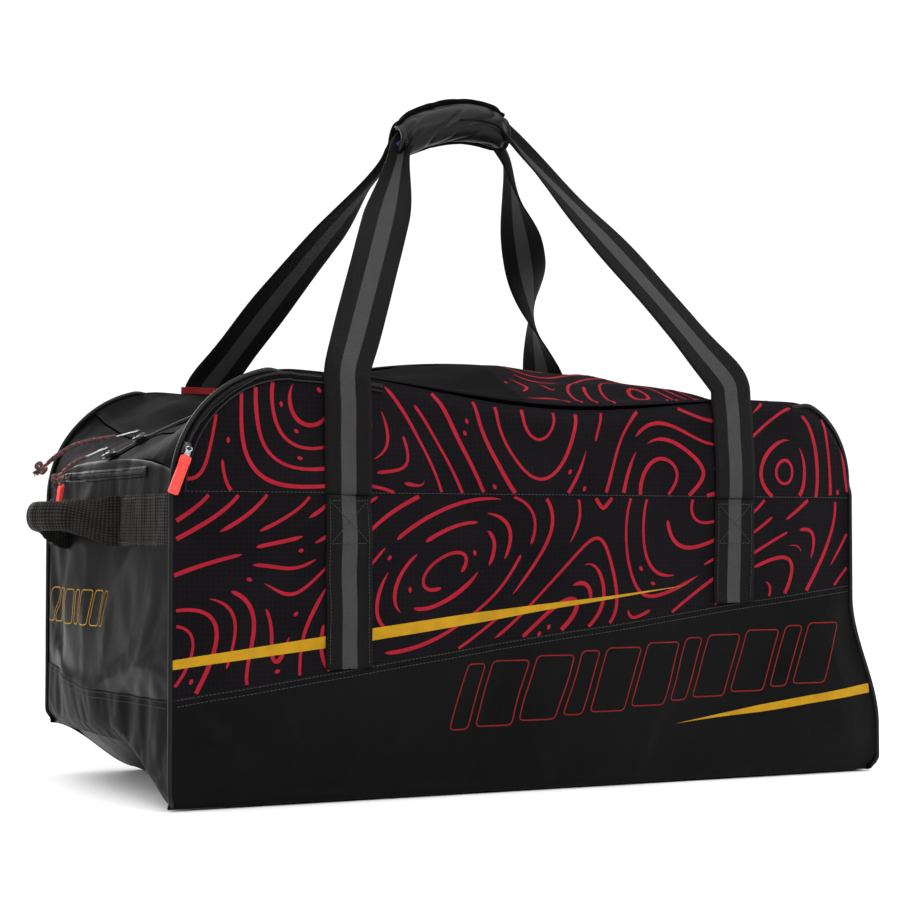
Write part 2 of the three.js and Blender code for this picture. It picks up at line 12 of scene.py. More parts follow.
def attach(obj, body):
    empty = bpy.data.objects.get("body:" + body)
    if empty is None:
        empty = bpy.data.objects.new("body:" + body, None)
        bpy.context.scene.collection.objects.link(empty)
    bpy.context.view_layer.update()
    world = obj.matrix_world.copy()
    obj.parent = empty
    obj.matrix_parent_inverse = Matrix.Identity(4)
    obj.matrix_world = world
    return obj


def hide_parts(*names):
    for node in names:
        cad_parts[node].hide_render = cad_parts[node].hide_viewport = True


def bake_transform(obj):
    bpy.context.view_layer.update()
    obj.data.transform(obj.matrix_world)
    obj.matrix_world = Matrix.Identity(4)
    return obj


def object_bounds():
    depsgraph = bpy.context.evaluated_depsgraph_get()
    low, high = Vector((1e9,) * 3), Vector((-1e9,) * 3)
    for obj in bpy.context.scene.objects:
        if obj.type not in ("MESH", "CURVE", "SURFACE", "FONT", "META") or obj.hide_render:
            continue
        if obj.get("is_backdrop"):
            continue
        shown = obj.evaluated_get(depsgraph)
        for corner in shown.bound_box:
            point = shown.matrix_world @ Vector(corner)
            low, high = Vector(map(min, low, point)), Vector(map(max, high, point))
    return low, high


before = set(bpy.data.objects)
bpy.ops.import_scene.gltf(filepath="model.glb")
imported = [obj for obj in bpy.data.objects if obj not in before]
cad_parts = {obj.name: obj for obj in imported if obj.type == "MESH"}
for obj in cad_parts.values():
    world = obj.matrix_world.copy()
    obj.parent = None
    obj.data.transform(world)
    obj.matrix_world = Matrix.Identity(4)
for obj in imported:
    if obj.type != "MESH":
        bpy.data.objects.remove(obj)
cad_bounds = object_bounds()

# Driving dimensions, as in the model
LEFT_END = -0.450
RIGHT_END = 0.450
RIGHT_FOOT_SPREAD = 0.040
HALF_WIDTH = 0.225
SEAM_Z = 0.342
LEFT_SHOULDER = 0.140
LEFT_CREST_X = LEFT_END + LEFT_SHOULDER
LEFT_CREST_Z = SEAM_Z + LEFT_SHOULDER
RIGHT_SHOULDER_X = 0.085
RIGHT_SHOULDER_Z = 0.100
RIGHT_CREST_X = RIGHT_END - RIGHT_SHOULDER_X
RIGHT_CREST_Z = 0.464
TOP_SAG = 0.027
END_BULGE = 0.018
LIFT = 0.062
ARCH_X = 0.020
ARCH_Z = -0.420
ARCH_R = 0.930
FLAP_LEFT = -0.394
FLAP_RIGHT = 0.400
POCKET_BAND = 0.0135
POCKET_END_X = -0.200
END_POCKET_Z = 0.367
END_POCKET_HALF = 0.150
WEBBING_WIDTH = 0.057
STRAP_X = {"left": -0.245, "right": 0.2715}
STRAP_FOLD_Z = 0.480
GRIP_HALF_LENGTH = 0.078
GRIP_THICKNESS = 0.0065
GRIP_RADIUS = 0.026
GRIP_DROP = 0.004  # the wrap lies that much below the straps' line
LABEL_X = -0.255
LABEL_HALF = 0.024

# The sides of the bag and its ends, as a sign along the axis and a name
SIDES = ((-1, "front"), (1, "rear"))
ENDS = ((-1, "left"), (1, "right"))

# Cloth
PANEL_THICKNESS = 0.0016
LAP = 0.0008  # how far a lapped panel stands proud of the one under it
PRINTED_TOP_FROM_X = -0.010  # the top is plain cloth to the left of this
PRINT_SPACING = 0.0235
PRINT_HALF_WIDTH = 0.0021
INK_PROUD = 0.00030
CLOTH_GRAVITY = 0.4  # share of full gravity while the panels settle
CLOTH_FRAMES = 20
THREAD_RADIUS = 0.00042
OUTWARD = 1.0  # a cloth's thickness grows along its normals
BOTH_WAYS = 0.0  # or half to each side

# Webbing
SEWN_THICKNESS = 0.0020
FREE_THICKNESS = 0.0021
END_THICKNESS = 0.0024
LOOP_THICKNESS = 0.0026
ACROSS = 13  # points across a webbing
STRAP_PROUD = 0.0010  # how far sewn webbing lies above the cloth
STITCH_PROUD = 0.0032
END_STITCH_PROUD = 0.0036
END_WEBBING_Z = 0.313
END_WEBBING_RUNS = {"front": (-0.2215, -0.0700), "rear": (0.1000, 0.2215)}
LOOP_MIDDLE_Y = 0.015
LOOP_HALF_LENGTH = 0.0870
LOOP_OUT_X = 0.5357
LOOP_TURN = 0.93 * math.pi / 1.35  # how far the folded webbing's edges turn in
HANDLE_HINGE_Y = 0.2284
STRAP_BEND_Y = 0.2235
PIPING_RADIUS = 0.0027


# Formulas shared with the model
def smooth(x, low, high):
    share = np.clip((x - low) / (high - low), 0, 1)
    return share * share * (3 - 2 * share)


def mix(a, b, share):
    return a + (b - a) * share


def arc(x, centre, radius_x, base, radius_z):
    return base + radius_z * np.sqrt(np.maximum(0, 1 - ((x - centre) / radius_x) ** 2))


def edge_height(x):
    share = (x - LEFT_CREST_X) / (RIGHT_CREST_X - LEFT_CREST_X)
    between = mix(LEFT_CREST_Z, RIGHT_CREST_Z, share)
    between = between - TOP_SAG * np.sin(np.pi * share) ** 2
    left = arc(x, LEFT_CREST_X, LEFT_SHOULDER, SEAM_Z, LEFT_SHOULDER)
    foot = RIGHT_CREST_Z - RIGHT_SHOULDER_Z
    right = arc(x, RIGHT_CREST_X, RIGHT_SHOULDER_X, foot, RIGHT_SHOULDER_Z)
    return np.where(x < LEFT_CREST_X, left, np.where(x > RIGHT_CREST_X, right, between))


def crown(x):
    return arc(x, ARCH_X, ARCH_R, ARCH_Z, ARCH_R)


def top_height(x, y):
    return mix(crown(x), edge_height(x), np.abs(y / HALF_WIDTH) ** 3)


def foot_spread(z):
    return RIGHT_FOOT_SPREAD * (1 - smooth(z, 0.060, 0.220))


def lower_seam(x):
    along = x - LEFT_END
    return 0.121 + 0.14 * along - 0.0125 * along**2


def end_seam(y):
    return 0.120 + 0.020 * smooth(y, 0, HALF_WIDTH)


def lift(x, y):
    return LIFT * smooth(-x, 0.330, 0.450) * smooth(y, -0.225, -0.060)


def end_bulge(y, z):
    rise = np.sin(np.pi * np.clip(z / 0.380, 0, 1))
    return END_BULGE * rise * (1 - (y / HALF_WIDTH) ** 2)


# Smooth seeded noise, about 1 high, as a sum of plane waves
def ripple(points, wavelength, seed, waves=12):
    random = np.random.default_rng(seed)
    directions = random.normal(size=(waves, 3))
    directions /= np.linalg.norm(directions, axis=1, keepdims=True)
    lengths = wavelength * random.uniform(0.7, 1.5, waves)
    phases = random.uniform(0, 2 * np.pi, waves)
    angles = points @ (directions * (2 * np.pi / lengths)[:, None]).T + phases
    return np.sin(angles).sum(-1) / math.sqrt(waves / 2)


def folds(points, wavelength, seed):
    """Sharp ridges with soft flanks, from 0 to 1."""
    return (1 - np.minimum(1, np.abs(ripple(points, wavelength, seed)))) ** 2


def length_along(line):
    """The length of a polyline up to each of its points."""
    return np.concatenate([[0], np.cumsum(np.linalg.norm(np.diff(line, axis=0), axis=1))])


def pairs(first, second):
    """A grid of number pairs."""
    return np.stack(np.meshgrid(first, second, indexing="ij"), axis=2)


def show(name, data):
    """A new object in the scene."""
    made = bpy.data.objects.new(name, data)
    bpy.context.scene.collection.objects.link(made)
    return made


# Camera
def add_camera():
    data = bpy.data.cameras.new("camera")
    data.sensor_width = 36
    data.lens = 87.8
    data.clip_end = 50
    camera = show("camera", data)
    camera.location = (-1.255, -2.464, 0.2935)
    camera.rotation_euler = (math.radians(92.3), 0, math.radians(-27))
    bpy.context.scene.camera = camera


# Materials
class Finish:
    """One material's nodes: a Principled shader and what feeds it."""

    def __init__(self, name, **settings):
        self.material = bpy.data.materials.new(name)
        self.material.use_nodes = True
        self.tree = self.material.node_tree
        self.shader = self.tree.nodes["Principled BSDF"]
        for socket, value in settings.items():
            self.shader.inputs[socket.replace("_", " ")].default_value = value

    def node(self, kind, values=None, **settings):
        made = self.tree.nodes.new("ShaderNode" + kind)
        for setting, value in settings.items():
            setattr(made, setting, value)
        for socket, value in (values or {}).items():
            if isinstance(value, bpy.types.NodeSocket):
                self.tree.links.new(value, made.inputs[socket])
            else:
                made.inputs[socket].default_value = value
        return made

    def math(self, operation, a, b=0.0, c=0.0):
        return self.node("Math", {0: a, 1: b, 2: c}, operation=operation).outputs[0]

    def uv(self):
        made = self.node("SeparateXYZ", {0: self.node("UVMap", uv_map="metres").outputs[0]})
        return made.outputs[0], made.outputs[1]

    def place(self):
        return self.node("TexCoord").outputs["Object"]

    def noise(self, scale, detail=2.0, roughness=0.5, stretch=(1, 1, 1), distortion=0.0):
        moved = self.node("Mapping", {"Vector": self.place(), "Scale": stretch}).outputs[0]
        values = {"Vector": moved, "Scale": scale, "Detail": detail}
        values["Roughness"] = roughness
        values["Distortion"] = distortion
        return self.node("TexNoise", values).outputs[0]

    def wave(self, along, pitch):
        """A soft wave from 0 to 1 of that pitch."""
        turned = self.math("MULTIPLY", along, 2 * math.pi / pitch)
        return self.math("MULTIPLY_ADD", self.math("SINE", turned), 0.5, 0.5)

    def spread(self, value, from_low, from_high, low, high):
        values = {0: value, 1: from_low, 2: from_high, 3: low, 4: high}
        return self.node("MapRange", values).outputs[0]

    def blend(self, share, a, b):
        made = self.node("Mix", {"Factor": share}, data_type="RGBA")
        for socket, value in ((6, a), (7, b)):
            if isinstance(value, bpy.types.NodeSocket):
                self.tree.links.new(value, made.inputs[socket])
            else:
                made.inputs[socket].default_value = (*value, 1)
        return made.outputs[2]

    def bump(self, height, distance, strength=1.0, under=None):
        values = {"Height": height, "Distance": distance, "Strength": strength}
        if under is not None:
            values["Normal"] = under
        return self.node("Bump", values).outputs[0]

    def finish(self, color=None, roughness=None, normal=None):
        for socket, value in (("Base Color", color), ("Roughness", roughness), ("Normal", normal)):
            if value is not None:
                self.tree.links.new(value, self.shader.inputs[socket])
        return self.material


def plain_weave(finish, pitch):
    """The height of a plain weave: threads over and under each other."""
    u, v = finish.uv()
    across, along = finish.wave(u, pitch), finish.wave(v, pitch)
    over = finish.math("MULTIPLY", across, along)
    under = finish.math("MULTIPLY", finish.math("SUBTRACT", 1.0, across), finish.math("SUBTRACT", 1.0, along))
    return finish.math("ADD", over, under)


def ripstop(finish, pitch):
    """1 on the thicker threads of a ripstop grid, 0 between them."""
    lines = []
    for along in finish.uv():
        shifted = finish.math("PINGPONG", along, pitch / 2)
        lines.append(finish.spread(shifted, 0.0, 0.0006, 1.0, 0.0))
    return finish.math("MAXIMUM", lines[0], lines[1])


def polyester(name, dark, light):
    made = Finish(name, Sheen_Weight=0.01, Sheen_Roughness=0.45, Specular_IOR_Level=0.035)
    grid = ripstop(made, 0.0058)
    cloudy = made.noise(9, 3, 0.6)
    weave = plain_weave(made, 0.0009)
    share = made.math("ADD", made.math("MULTIPLY", grid, 0.45), made.math("MULTIPLY", weave, 0.25))
    share = made.math("ADD", share, made.spread(cloudy, 0.35, 0.65, 0.0, 0.35))
    color = made.blend(share, dark, light)
    rough = made.spread(cloudy, 0.3, 0.7, 0.62, 0.8)
    creases = made.noise(34, 4, 0.55, (1, 1, 1.7), 0.6)
    normal = made.bump(creases, 0.0022, 0.55)
    normal = made.bump(grid, 0.00022, 0.7, normal)
    normal = made.bump(weave, 0.00016, 0.8, normal)
    return made.finish(color, rough, normal)


def tarpaulin(name, dark, light, low_gloss, high_gloss, crease, specular):
    made = Finish(name, Specular_IOR_Level=specular)
    cloudy = made.noise(6, 4, 0.6)
    scuffs = made.noise(70, 6, 0.7, (1, 1, 0.35))
    fine = made.node("TexVoronoi", {"Vector": made.place(), "Scale": 1500.0}).outputs["Distance"]
    clouds = made.spread(cloudy, 0.3, 0.7, 0, 0.6)
    share = made.math("ADD", clouds, made.spread(scuffs, 0.58, 0.75, 0, 0.5))
    color = made.blend(share, dark, light)
    dull = made.spread(cloudy, 0.3, 0.7, low_gloss, high_gloss)
    rough = made.math("ADD", dull, made.spread(scuffs, 0.5, 0.7, 0, 0.09))
    wrinkled = made.noise(15, 5, 0.52, (1, 1, 0.6), 1.1)
    small = made.noise(60, 3, 0.5, (1, 1, 0.8), 0.5)
    normal = made.bump(wrinkled, 0.007, crease)
    normal = made.bump(small, 0.0018, 1.5 * crease, normal)
    normal = made.bump(fine, 0.00012, 0.5, normal)
    return made.finish(color, rough, normal)


def striped_webbing():
    made = Finish("striped_webbing", Specular_IOR_Level=0.05, Sheen_Weight=0.01)
    u, v = made.uv()
    side = made.math("ABSOLUTE", u)
    stripe = made.spread(side, 0.0088, 0.0096, 1.0, 0.0)
    zigzag = made.math("PINGPONG", u, 0.0030)
    ribs = made.wave(made.math("ADD", v, zigzag), 0.0021)
    cross = made.wave(u, 0.0012)
    height = made.math("ADD", ribs, made.math("MULTIPLY", cross, 0.5))
    worn = made.noise(45, 3, 0.6)
    raised = made.spread(height, 0.2, 1.4, 0, 1)
    black = made.blend(raised, (0.0020, 0.0018, 0.0018), (0.0098, 0.0088, 0.0082))
    grey = made.blend(raised, (0.026, 0.026, 0.027), (0.068, 0.067, 0.068))
    grey = made.blend(made.spread(worn, 0.4, 0.7, 0, 0.35), grey, (0.035, 0.034, 0.034))
    color = made.blend(stripe, black, grey)
    rough = made.spread(height, 0.2, 1.4, 0.75, 0.55)
    normal = made.bump(height, 0.00045, 0.9)
    return made.finish(color, rough, normal)


def waffle_webbing():
    made = Finish("plain_webbing", Specular_IOR_Level=0.10, Sheen_Weight=0.01)
    u, v = made.uv()
    across, along = made.wave(u, 0.0046), made.wave(v, 0.0034)
    height = made.math("MULTIPLY", across, along)
    worn = made.noise(40, 3, 0.6)
    share = made.math("ADD", height, made.spread(worn, 0.4, 0.7, -0.1, 0.2))
    color = made.blend(share, (0.0032, 0.0029, 0.0026), (0.032, 0.029, 0.0265))
    rough = made.spread(height, 0, 1, 0.8, 0.5)
    return made.finish(color, rough, made.bump(height, 0.0012, 1.0))


def smooth_plastic(name, color, roughness, specular, variation=0.25, grain=900.0):
    made = Finish(name, Specular_IOR_Level=specular)
    cloudy = made.noise(120, 3, 0.6)
    fine = made.noise(grain, 2)
    tinted = tuple(c * (1 - variation) for c in color)
    shade = made.blend(made.spread(cloudy, 0.35, 0.65, 0, 1), tinted, color)
    rough = made.spread(fine, 0.3, 0.7, roughness - 0.06, roughness + 0.08)
    return made.finish(shade, rough, made.bump(fine, 0.0001, 0.35))


def metal(name, color, roughness):
    made = Finish(name, Metallic=1.0)
    brushed = made.noise(500, 3, 0.6, (0.15, 1, 1))
    worn = made.noise(160, 3, 0.6)
    shade = made.blend(made.spread(worn, 0.4, 0.7, 0, 0.5), color, tuple(c * 0.6 for c in color))
    rough = made.spread(brushed, 0.3, 0.7, roughness - 0.08, roughness + 0.12)
    return made.finish(shade, rough, made.bump(brushed, 0.00008, 0.4))


def braid():
    """Round cord: a black plaited sheath with red flecks."""
    made = Finish("paracord", Sheen_Weight=0.2, Specular_IOR_Level=0.3)
    u, v = made.uv()
    left = made.wave(made.math("ADD", u, v), 0.0021)
    right = made.wave(made.math("SUBTRACT", u, v), 0.0021)
    plait = made.math("MAXIMUM", left, right)
    fleck_u = made.wave(made.math("ADD", u, v), 0.0084)
    fleck_v = made.wave(made.math("SUBTRACT", v, u), 0.0063)
    flecks = made.spread(made.math("MULTIPLY", fleck_u, fleck_v), 0.52, 0.62, 0, 1)
    shade = made.blend(plait, (0.004, 0.0035, 0.0035), (0.026, 0.023, 0.022))
    red = made.blend(plait, (0.22, 0.008, 0.012), (0.60, 0.03, 0.035))
    color = made.blend(flecks, shade, red)
    rough = made.spread(plait, 0, 1, 0.9, 0.65)
    return made.finish(color, rough, made.bump(plait, 0.0005, 1.0))


def ink(name, color, specular):
    made = Finish(name, Specular_IOR_Level=specular)
    weave = plain_weave(made, 0.0009)
    patchy = made.noise(55, 3, 0.6)
    darker = tuple(c * 0.72 for c in color)
    share = made.math("ADD", made.math("MULTIPLY", weave, 0.4), made.spread(patchy, 0.35, 0.65, 0, 0.6))
    rough = made.spread(patchy, 0.3, 0.7, 0.5, 0.7)
    return made.finish(made.blend(share, darker, color), rough, made.bump(weave, 0.00012, 0.7))


def thread(name, color):
    made = Finish(name, Specular_IOR_Level=0.4, Sheen_Weight=0.1)
    twist = made.noise(1400, 2, 0.5, (1, 1, 1))
    shade = made.blend(made.spread(twist, 0.35, 0.65, 0, 1), tuple(c * 0.4 for c in color), color)
    rough = made.spread(twist, 0.3, 0.7, 0.5, 0.75)
    return made.finish(shade, rough, made.bump(twist, 0.0002, 0.6))


# Coated cloth: dark and light colour, least and most roughness, crease depth, specular level
TARPAULINS = {
    "lower": ((0.0014, 0.0014, 0.0015), (0.0044, 0.0043, 0.0044), 0.36, 0.50, 0.26, 0.055),
    "gloss": ((0.0024, 0.0024, 0.0025), (0.0066, 0.0064, 0.0062), 0.33, 0.45, 0.10, 0.062),
    "end_lower": ((0.0016, 0.0016, 0.0017), (0.0050, 0.0048, 0.0047), 0.36, 0.48, 0.14, 0.026),
    # A darker, duller copy of the end's coated cloth: painted shade for the hollow at the left of the top
    "shaded_valley": ((0.0008, 0.0008, 0.0009), (0.0020, 0.0019, 0.0019), 0.48, 0.60, 0.30, 0.010),
    "grip": ((0.0022, 0.0022, 0.0022), (0.0066, 0.0064, 0.0061), 0.30, 0.42, 0.14, 0.15),
}


def make_finishes():
    coated = {name: tarpaulin(name + "_tarpaulin", *looks) for name, looks in TARPAULINS.items()}
    return coated | {
        "printed": polyester("printed_polyester", (0.0022, 0.0017, 0.0023), (0.0085, 0.0068, 0.0088)),
        "black": polyester("black_polyester", (0.0007, 0.0006, 0.0007), (0.0034, 0.0031, 0.0031)),
        "lining": polyester("lining", (0.006, 0.006, 0.0065), (0.02, 0.02, 0.021)),
        "striped": striped_webbing(),
        "waffle": waffle_webbing(),
        "piping": smooth_plastic("piping", (0.0060, 0.0060, 0.0062), 0.36, 0.16),
        "coil": smooth_plastic("zipper_coil", (0.006, 0.006, 0.0062), 0.42, 0.25),
        "dark_metal": smooth_plastic("slider_paint", (0.012, 0.012, 0.013), 0.32, 0.6),
        "silver": metal("silver_metal", (0.40, 0.41, 0.42), 0.34),
        "red_rubber": smooth_plastic(
            "red_rubber", (0.84, 0.045, 0.032), 0.42, 0.4, variation=0.12, grain=1600.0
        ),
        "paracord": braid(),
        "label": ink("red_label", (0.26, 0.010, 0.018), 0.15),
        "red_ink": ink("red_ink", (0.30, 0.008, 0.021), 0.08),
        "dark_red_ink": ink("dark_red_ink", (0.19, 0.010, 0.012), 0.08),
        "yellow_ink": ink("yellow_ink", (0.42, 0.225, 0.006), 0.10),
        "pale_thread": thread("grey_thread", (0.032, 0.031, 0.031)),
        "dark_thread": thread("black_thread", (0.020, 0.018, 0.018)),
        "blue": smooth_plastic("blue_lining", (0.01, 0.03, 0.12), 0.6, 0.3),
    }


# Meshes
def add_mesh(name, points, faces, material, uv=None, materials=None, face_materials=None):
    """A mesh object; uv is one pair for each point."""
    mesh = bpy.data.meshes.new(name)
    corners = [tuple(map(int, face)) for face in faces]
    mesh.from_pydata([tuple(map(float, point)) for point in points], [], corners)
    if uv is not None:
        layer = mesh.uv_layers.new(name="metres")
        corners = np.zeros(len(mesh.loops), np.int32)
        mesh.loops.foreach_get("vertex_index", corners)
        layer.data.foreach_set("uv", np.asarray(uv, np.float32)[corners].ravel())
    for each in materials or [material]:
        mesh.materials.append(each)
    if face_materials is not None:
        mesh.polygons.foreach_set("material_index", np.asarray(face_materials, np.int32))
    mesh.polygons.foreach_set("use_smooth", [True] * len(mesh.polygons))
    mesh.update()
    return show(name, mesh)


def grid_faces(rows, columns, wrap=False, flip=False):
    """Quads over a grid of points numbered row by row; wrap joins the last column to the first."""
    i, j = np.meshgrid(np.arange(rows - 1), np.arange(columns if wrap else columns - 1), indexing="ij")
    following = (j + 1) % columns
    here, below = i * columns, (i + 1) * columns
    corners = (here + j, below + j, below + following, here + following)
    faces = np.stack([c.ravel() for c in corners], axis=1)
    return faces[:, ::-1] if flip else faces


def grid_uv(points):
    """Lengths along and across a grid of points, in metres."""
    across = np.linalg.norm(np.diff(points, axis=0), axis=2).mean(1)
    along = np.linalg.norm(np.diff(points, axis=1), axis=2).mean(0)
    u = np.concatenate([[0], np.cumsum(across)])
    v = np.concatenate([[0], np.cumsum(along)])
    return pairs(u - u[-1] / 2, v)


def grid_mesh(name, points, material, uv=None, flip=False, wrap=False, **more):
    rows, columns = points.shape[:2]
    uv = grid_uv(points) if uv is None else uv
    faces = grid_faces(rows, columns, wrap, flip)
    return add_mesh(name, points.reshape(-1, 3), faces, material, uv.reshape(-1, 2), **more)


def rounder(piece, levels=1):
    modifier = piece.modifiers.new("rounder", "SUBSURF")
    modifier.levels = modifier.render_levels = levels
    modifier.boundary_smooth = "PRESERVE_CORNERS"
    return piece


def thicken(piece, thickness, offset=-1.0):
    modifier = piece.modifiers.new("thickness", "SOLIDIFY")
    modifier.thickness = thickness
    modifier.offset = offset
    modifier.use_even_offset = False
    return piece


def own(piece, body, slot=None, nodes=()):
    """The piece rides on a body and stands for CAD nodes; slot is not used."""
    if body is not None:
        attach(piece, body)
    if nodes:
        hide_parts(*nodes)
    return piece


def joined(name, pieces):
    """Several mesh objects made one."""
    with bpy.context.temp_override(active_object=pieces[0], selected_editable_objects=pieces):
        bpy.ops.object.join()
    pieces[0].name = name
    return pieces[0]


def grid_area(points):
    a, b = np.diff(points[:, :-1], axis=0), np.diff(points[:-1], axis=1)
    return float(np.linalg.norm(np.cross(a, b), axis=2).sum())


def stretched(points):
    """Works out a sewn panel's cut: as wide and long as the panel, with the panel's area; nothing is kept."""
    width = float(np.linalg.norm(np.diff(points, axis=0), axis=2).sum(0).max())
    length = float(np.linalg.norm(np.diff(points, axis=1), axis=2).sum(1).max())
    area = min(grid_area(points), width * length)


def settle(points, held, growth, pressure, cap, flip=False):
    """Lets a grid of points hang as cloth a little larger than its place, held at some points."""
    piece = grid_mesh("settling", points, None, flip=flip)
    group = piece.vertex_groups.new(name="held")
    group.add(np.flatnonzero(held.ravel()).tolist(), 1.0, "REPLACE")
    cloth = piece.modifiers.new("cloth", "CLOTH")
    settings = cloth.settings
    settings.quality = 4
    settings.mass = 0.25
    settings.tension_stiffness = settings.compression_stiffness = 12
    settings.shear_stiffness = 6
    settings.bending_stiffness = 0.35
    settings.vertex_group_mass = "held"
    settings.shrink_min = -growth
    settings.use_pressure = True
    settings.uniform_pressure_force = pressure
    settings.effector_weights.gravity = CLOTH_GRAVITY
    cloth.collision_settings.use_collision = False
    scene = bpy.context.scene
    for number in range(1, CLOTH_FRAMES + 1):
        scene.frame_set(number)
    shown = piece.evaluated_get(bpy.context.evaluated_depsgraph_get())
    moved = np.zeros(points.size, np.float32)
    shown.data.vertices.foreach_get("co", moved)
    scene.frame_set(1)
    bpy.data.objects.remove(piece)
    change = moved.reshape(points.shape).astype(float) - points
    size = np.linalg.norm(change, axis=2, keepdims=True)
    return points + change * (cap * np.tanh(size / cap) / np.maximum(size, 1e-9))


def held_points(points, seams=()):
    """Which points of a grid are held: its two outer rings and its seams."""
    held = np.zeros(points.shape[:2], bool)
    held[[0, 1, -2, -1]] = True
    held[:, [0, 1, *seams, -2, -1]] = True
    return held


def add_panels(name, points, uv, spans, flip, finishes):
    """Panels cut from one grid: each span has its rows, shift, finish and slot."""
    made = {}
    for part, (rows, shift, finish, slot) in spans.items():
        cut = points[:, rows] + shift
        panel = grid_mesh(f"{name}_{part}_cloth", cut, finishes[finish], uv[:, rows], flip=flip)
        rounder(thicken(panel, PANEL_THICKNESS))
        own(panel, "bag", slot, [f"{name}_{part}_panel"])
        stretched(cut)
        made[f"{name}_{part}"] = panel
    return made


def tree_of(pieces):
    """A search tree over the pieces as shown."""
    graph = bpy.context.evaluated_depsgraph_get()
    graph.update()
    points, faces = [], []
    for piece in pieces:
        mesh = piece.evaluated_get(graph).to_mesh()
        start = len(points)
        points += [piece.matrix_world @ v.co for v in mesh.vertices]
        faces += [tuple(start + i for i in p.vertices) for p in mesh.polygons]
        piece.evaluated_get(graph).to_mesh_clear()
    return BVHTree.FromPolygons(points, faces)


def on_surface(tree, points, direction, proud):
    """The points carried along the direction to the surface, and its outward normals there."""
    direction = Vector(direction)
    places, normals = [], []
    for point in points:
        start = Vector(point) - direction * 0.2
        place, normal, _, _ = tree.ray_cast(start, direction, 0.5)
        if place is None:
            place, normal, _, _ = tree.find_nearest(Vector(point))
        if normal.dot(direction) > 0:
            normal = -normal
        places.append(place + normal * proud)
        normals.append(normal)
    return np.array(places), np.array(normals)


def unit(vectors):
    return vectors / np.maximum(np.linalg.norm(vectors, axis=-1, keepdims=True), 1e-12)


def resampled(line, pace):
    """The polyline with points about that far apart."""
    along = length_along(line)
    at = np.linspace(0, along[-1], max(2, int(round(along[-1] / pace)) + 1))
    return np.stack([np.interp(at, along, line[:, k]) for k in range(line.shape[1])], axis=1)


def curved(points, pace):
    """A smooth curve through a few points, with points about that far apart."""
    points = np.asarray(points, float)
    ends = np.concatenate([[2 * points[0] - points[1]], points, [2 * points[-1] - points[-2]]])
    out = []
    for a, b, c, d in zip(ends, ends[1:], ends[2:], ends[3:]):
        for t in np.linspace(0, 1, 12, endpoint=False):
            square, cube = 2 * a - 5 * b + 4 * c - d, 3 * b - a - 3 * c + d
            out.append(0.5 * (2 * b + (c - a) * t + square * t**2 + cube * t**3))
    out.append(points[-1])
    return resampled(np.array(out), pace)


def frames_along(line, up=(0, 0, 1)):
    """Tangents and two cross directions, turned as little as possible along the line."""
    tangents = unit(np.gradient(line, axis=0))
    side = np.cross(np.array(up, float), tangents[0])
    if np.linalg.norm(side) < 1e-6:
        side = np.cross((1.0, 0, 0), tangents[0])
    sides = [unit(side)]
    for tangent in tangents[1:]:
        last = sides[-1] - tangent * (sides[-1] @ tangent)
        sides.append(unit(last))
    sides = np.array(sides)
    return tangents, sides, np.cross(tangents, sides)


def tube(name, line, radius, material, sides=10, closed_ends=True):
    """A round bar along a line; radius is one number or one for each point."""
    line = np.asarray(line, float)
    radius = np.broadcast_to(np.asarray(radius, float), (len(line),)).copy()
    if closed_ends:
        line = np.concatenate([line[:1], line, line[-1:]])
        radius = np.concatenate([[1e-5], radius, [1e-5]])
    inner = line[1:-1] if closed_ends else line
    _, across, out = frames_along(inner)
    if closed_ends:
        across = np.concatenate([across[:1], across, across[-1:]])
        out = np.concatenate([out[:1], out, out[-1:]])
    angles = np.linspace(0, 2 * np.pi, sides, endpoint=False)
    ring = across[:, None] * np.cos(angles)[None, :, None]
    ring = ring + out[:, None] * np.sin(angles)[None, :, None]
    points = line[:, None] + ring * radius[:, None, None]
    lengths = length_along(line)
    uv = pairs(lengths, angles * float(radius.max()))
    return grid_mesh(name, points, material, uv, wrap=True)


def ribbon_points(line, half_widths, across, count=3):
    """Grid points of a flat strip: across holds the sideways direction at each point."""
    shares = np.linspace(-1, 1, count)
    return line[:, None] + across[:, None] * (half_widths[:, None] * shares[None, :])[:, :, None]


def ring_faces(base, rings, sides):
    """Quads round a bar of so many rings of points."""
    faces = []
    for k in range(rings - 1):
        for i in range(sides):
            j = (i + 1) % sides
            low, high = base + sides * k, base + sides * (k + 1)
            faces.append((low + i, low + j, high + j, high + i))
    return faces


def stitches(name, lines, material, pitch=0.0046, length=0.0034, radius=THREAD_RADIUS):
    """Rows of stitches: lines is a list of (points, normals) on the cloth."""
    points, faces = [], []
    ring = np.array([(1, 0), (0, 1), (-1, 0), (0, -1)], float)
    for line, normals in lines:
        along = length_along(line)
        for start in np.arange(pitch / 2, along[-1] - length, pitch):
            at = np.array([start, start + length / 2, start + length])
            centre = np.stack([np.interp(at, along, line[:, k]) for k in range(3)], axis=1)
            normal = unit(np.array([np.interp(at[1], along, normals[:, k]) for k in range(3)]))
            tangent = unit(centre[2] - centre[0])
            side = np.cross(normal, tangent)
            base = len(points)
            for place, size, height in zip(centre, (0.5, 1.0, 0.5), (-0.3, 0.75, -0.3)):
                middle = place + normal * radius * height
                for a, b in ring:
                    points.append(middle + (side * a + normal * b) * radius * size)
            faces += ring_faces(base, 3, 4)
            faces.append((base + 3, base + 2, base + 1, base))
            faces.append((base + 8, base + 9, base + 10, base + 11))
    return add_mesh(name, points, faces, material)


def show_shape(name, shape, material):
    mesh = bpy.data.meshes.new(name)
    shape.to_mesh(mesh)
    shape.free()
    mesh.materials.append(material)
    return show(name, mesh)


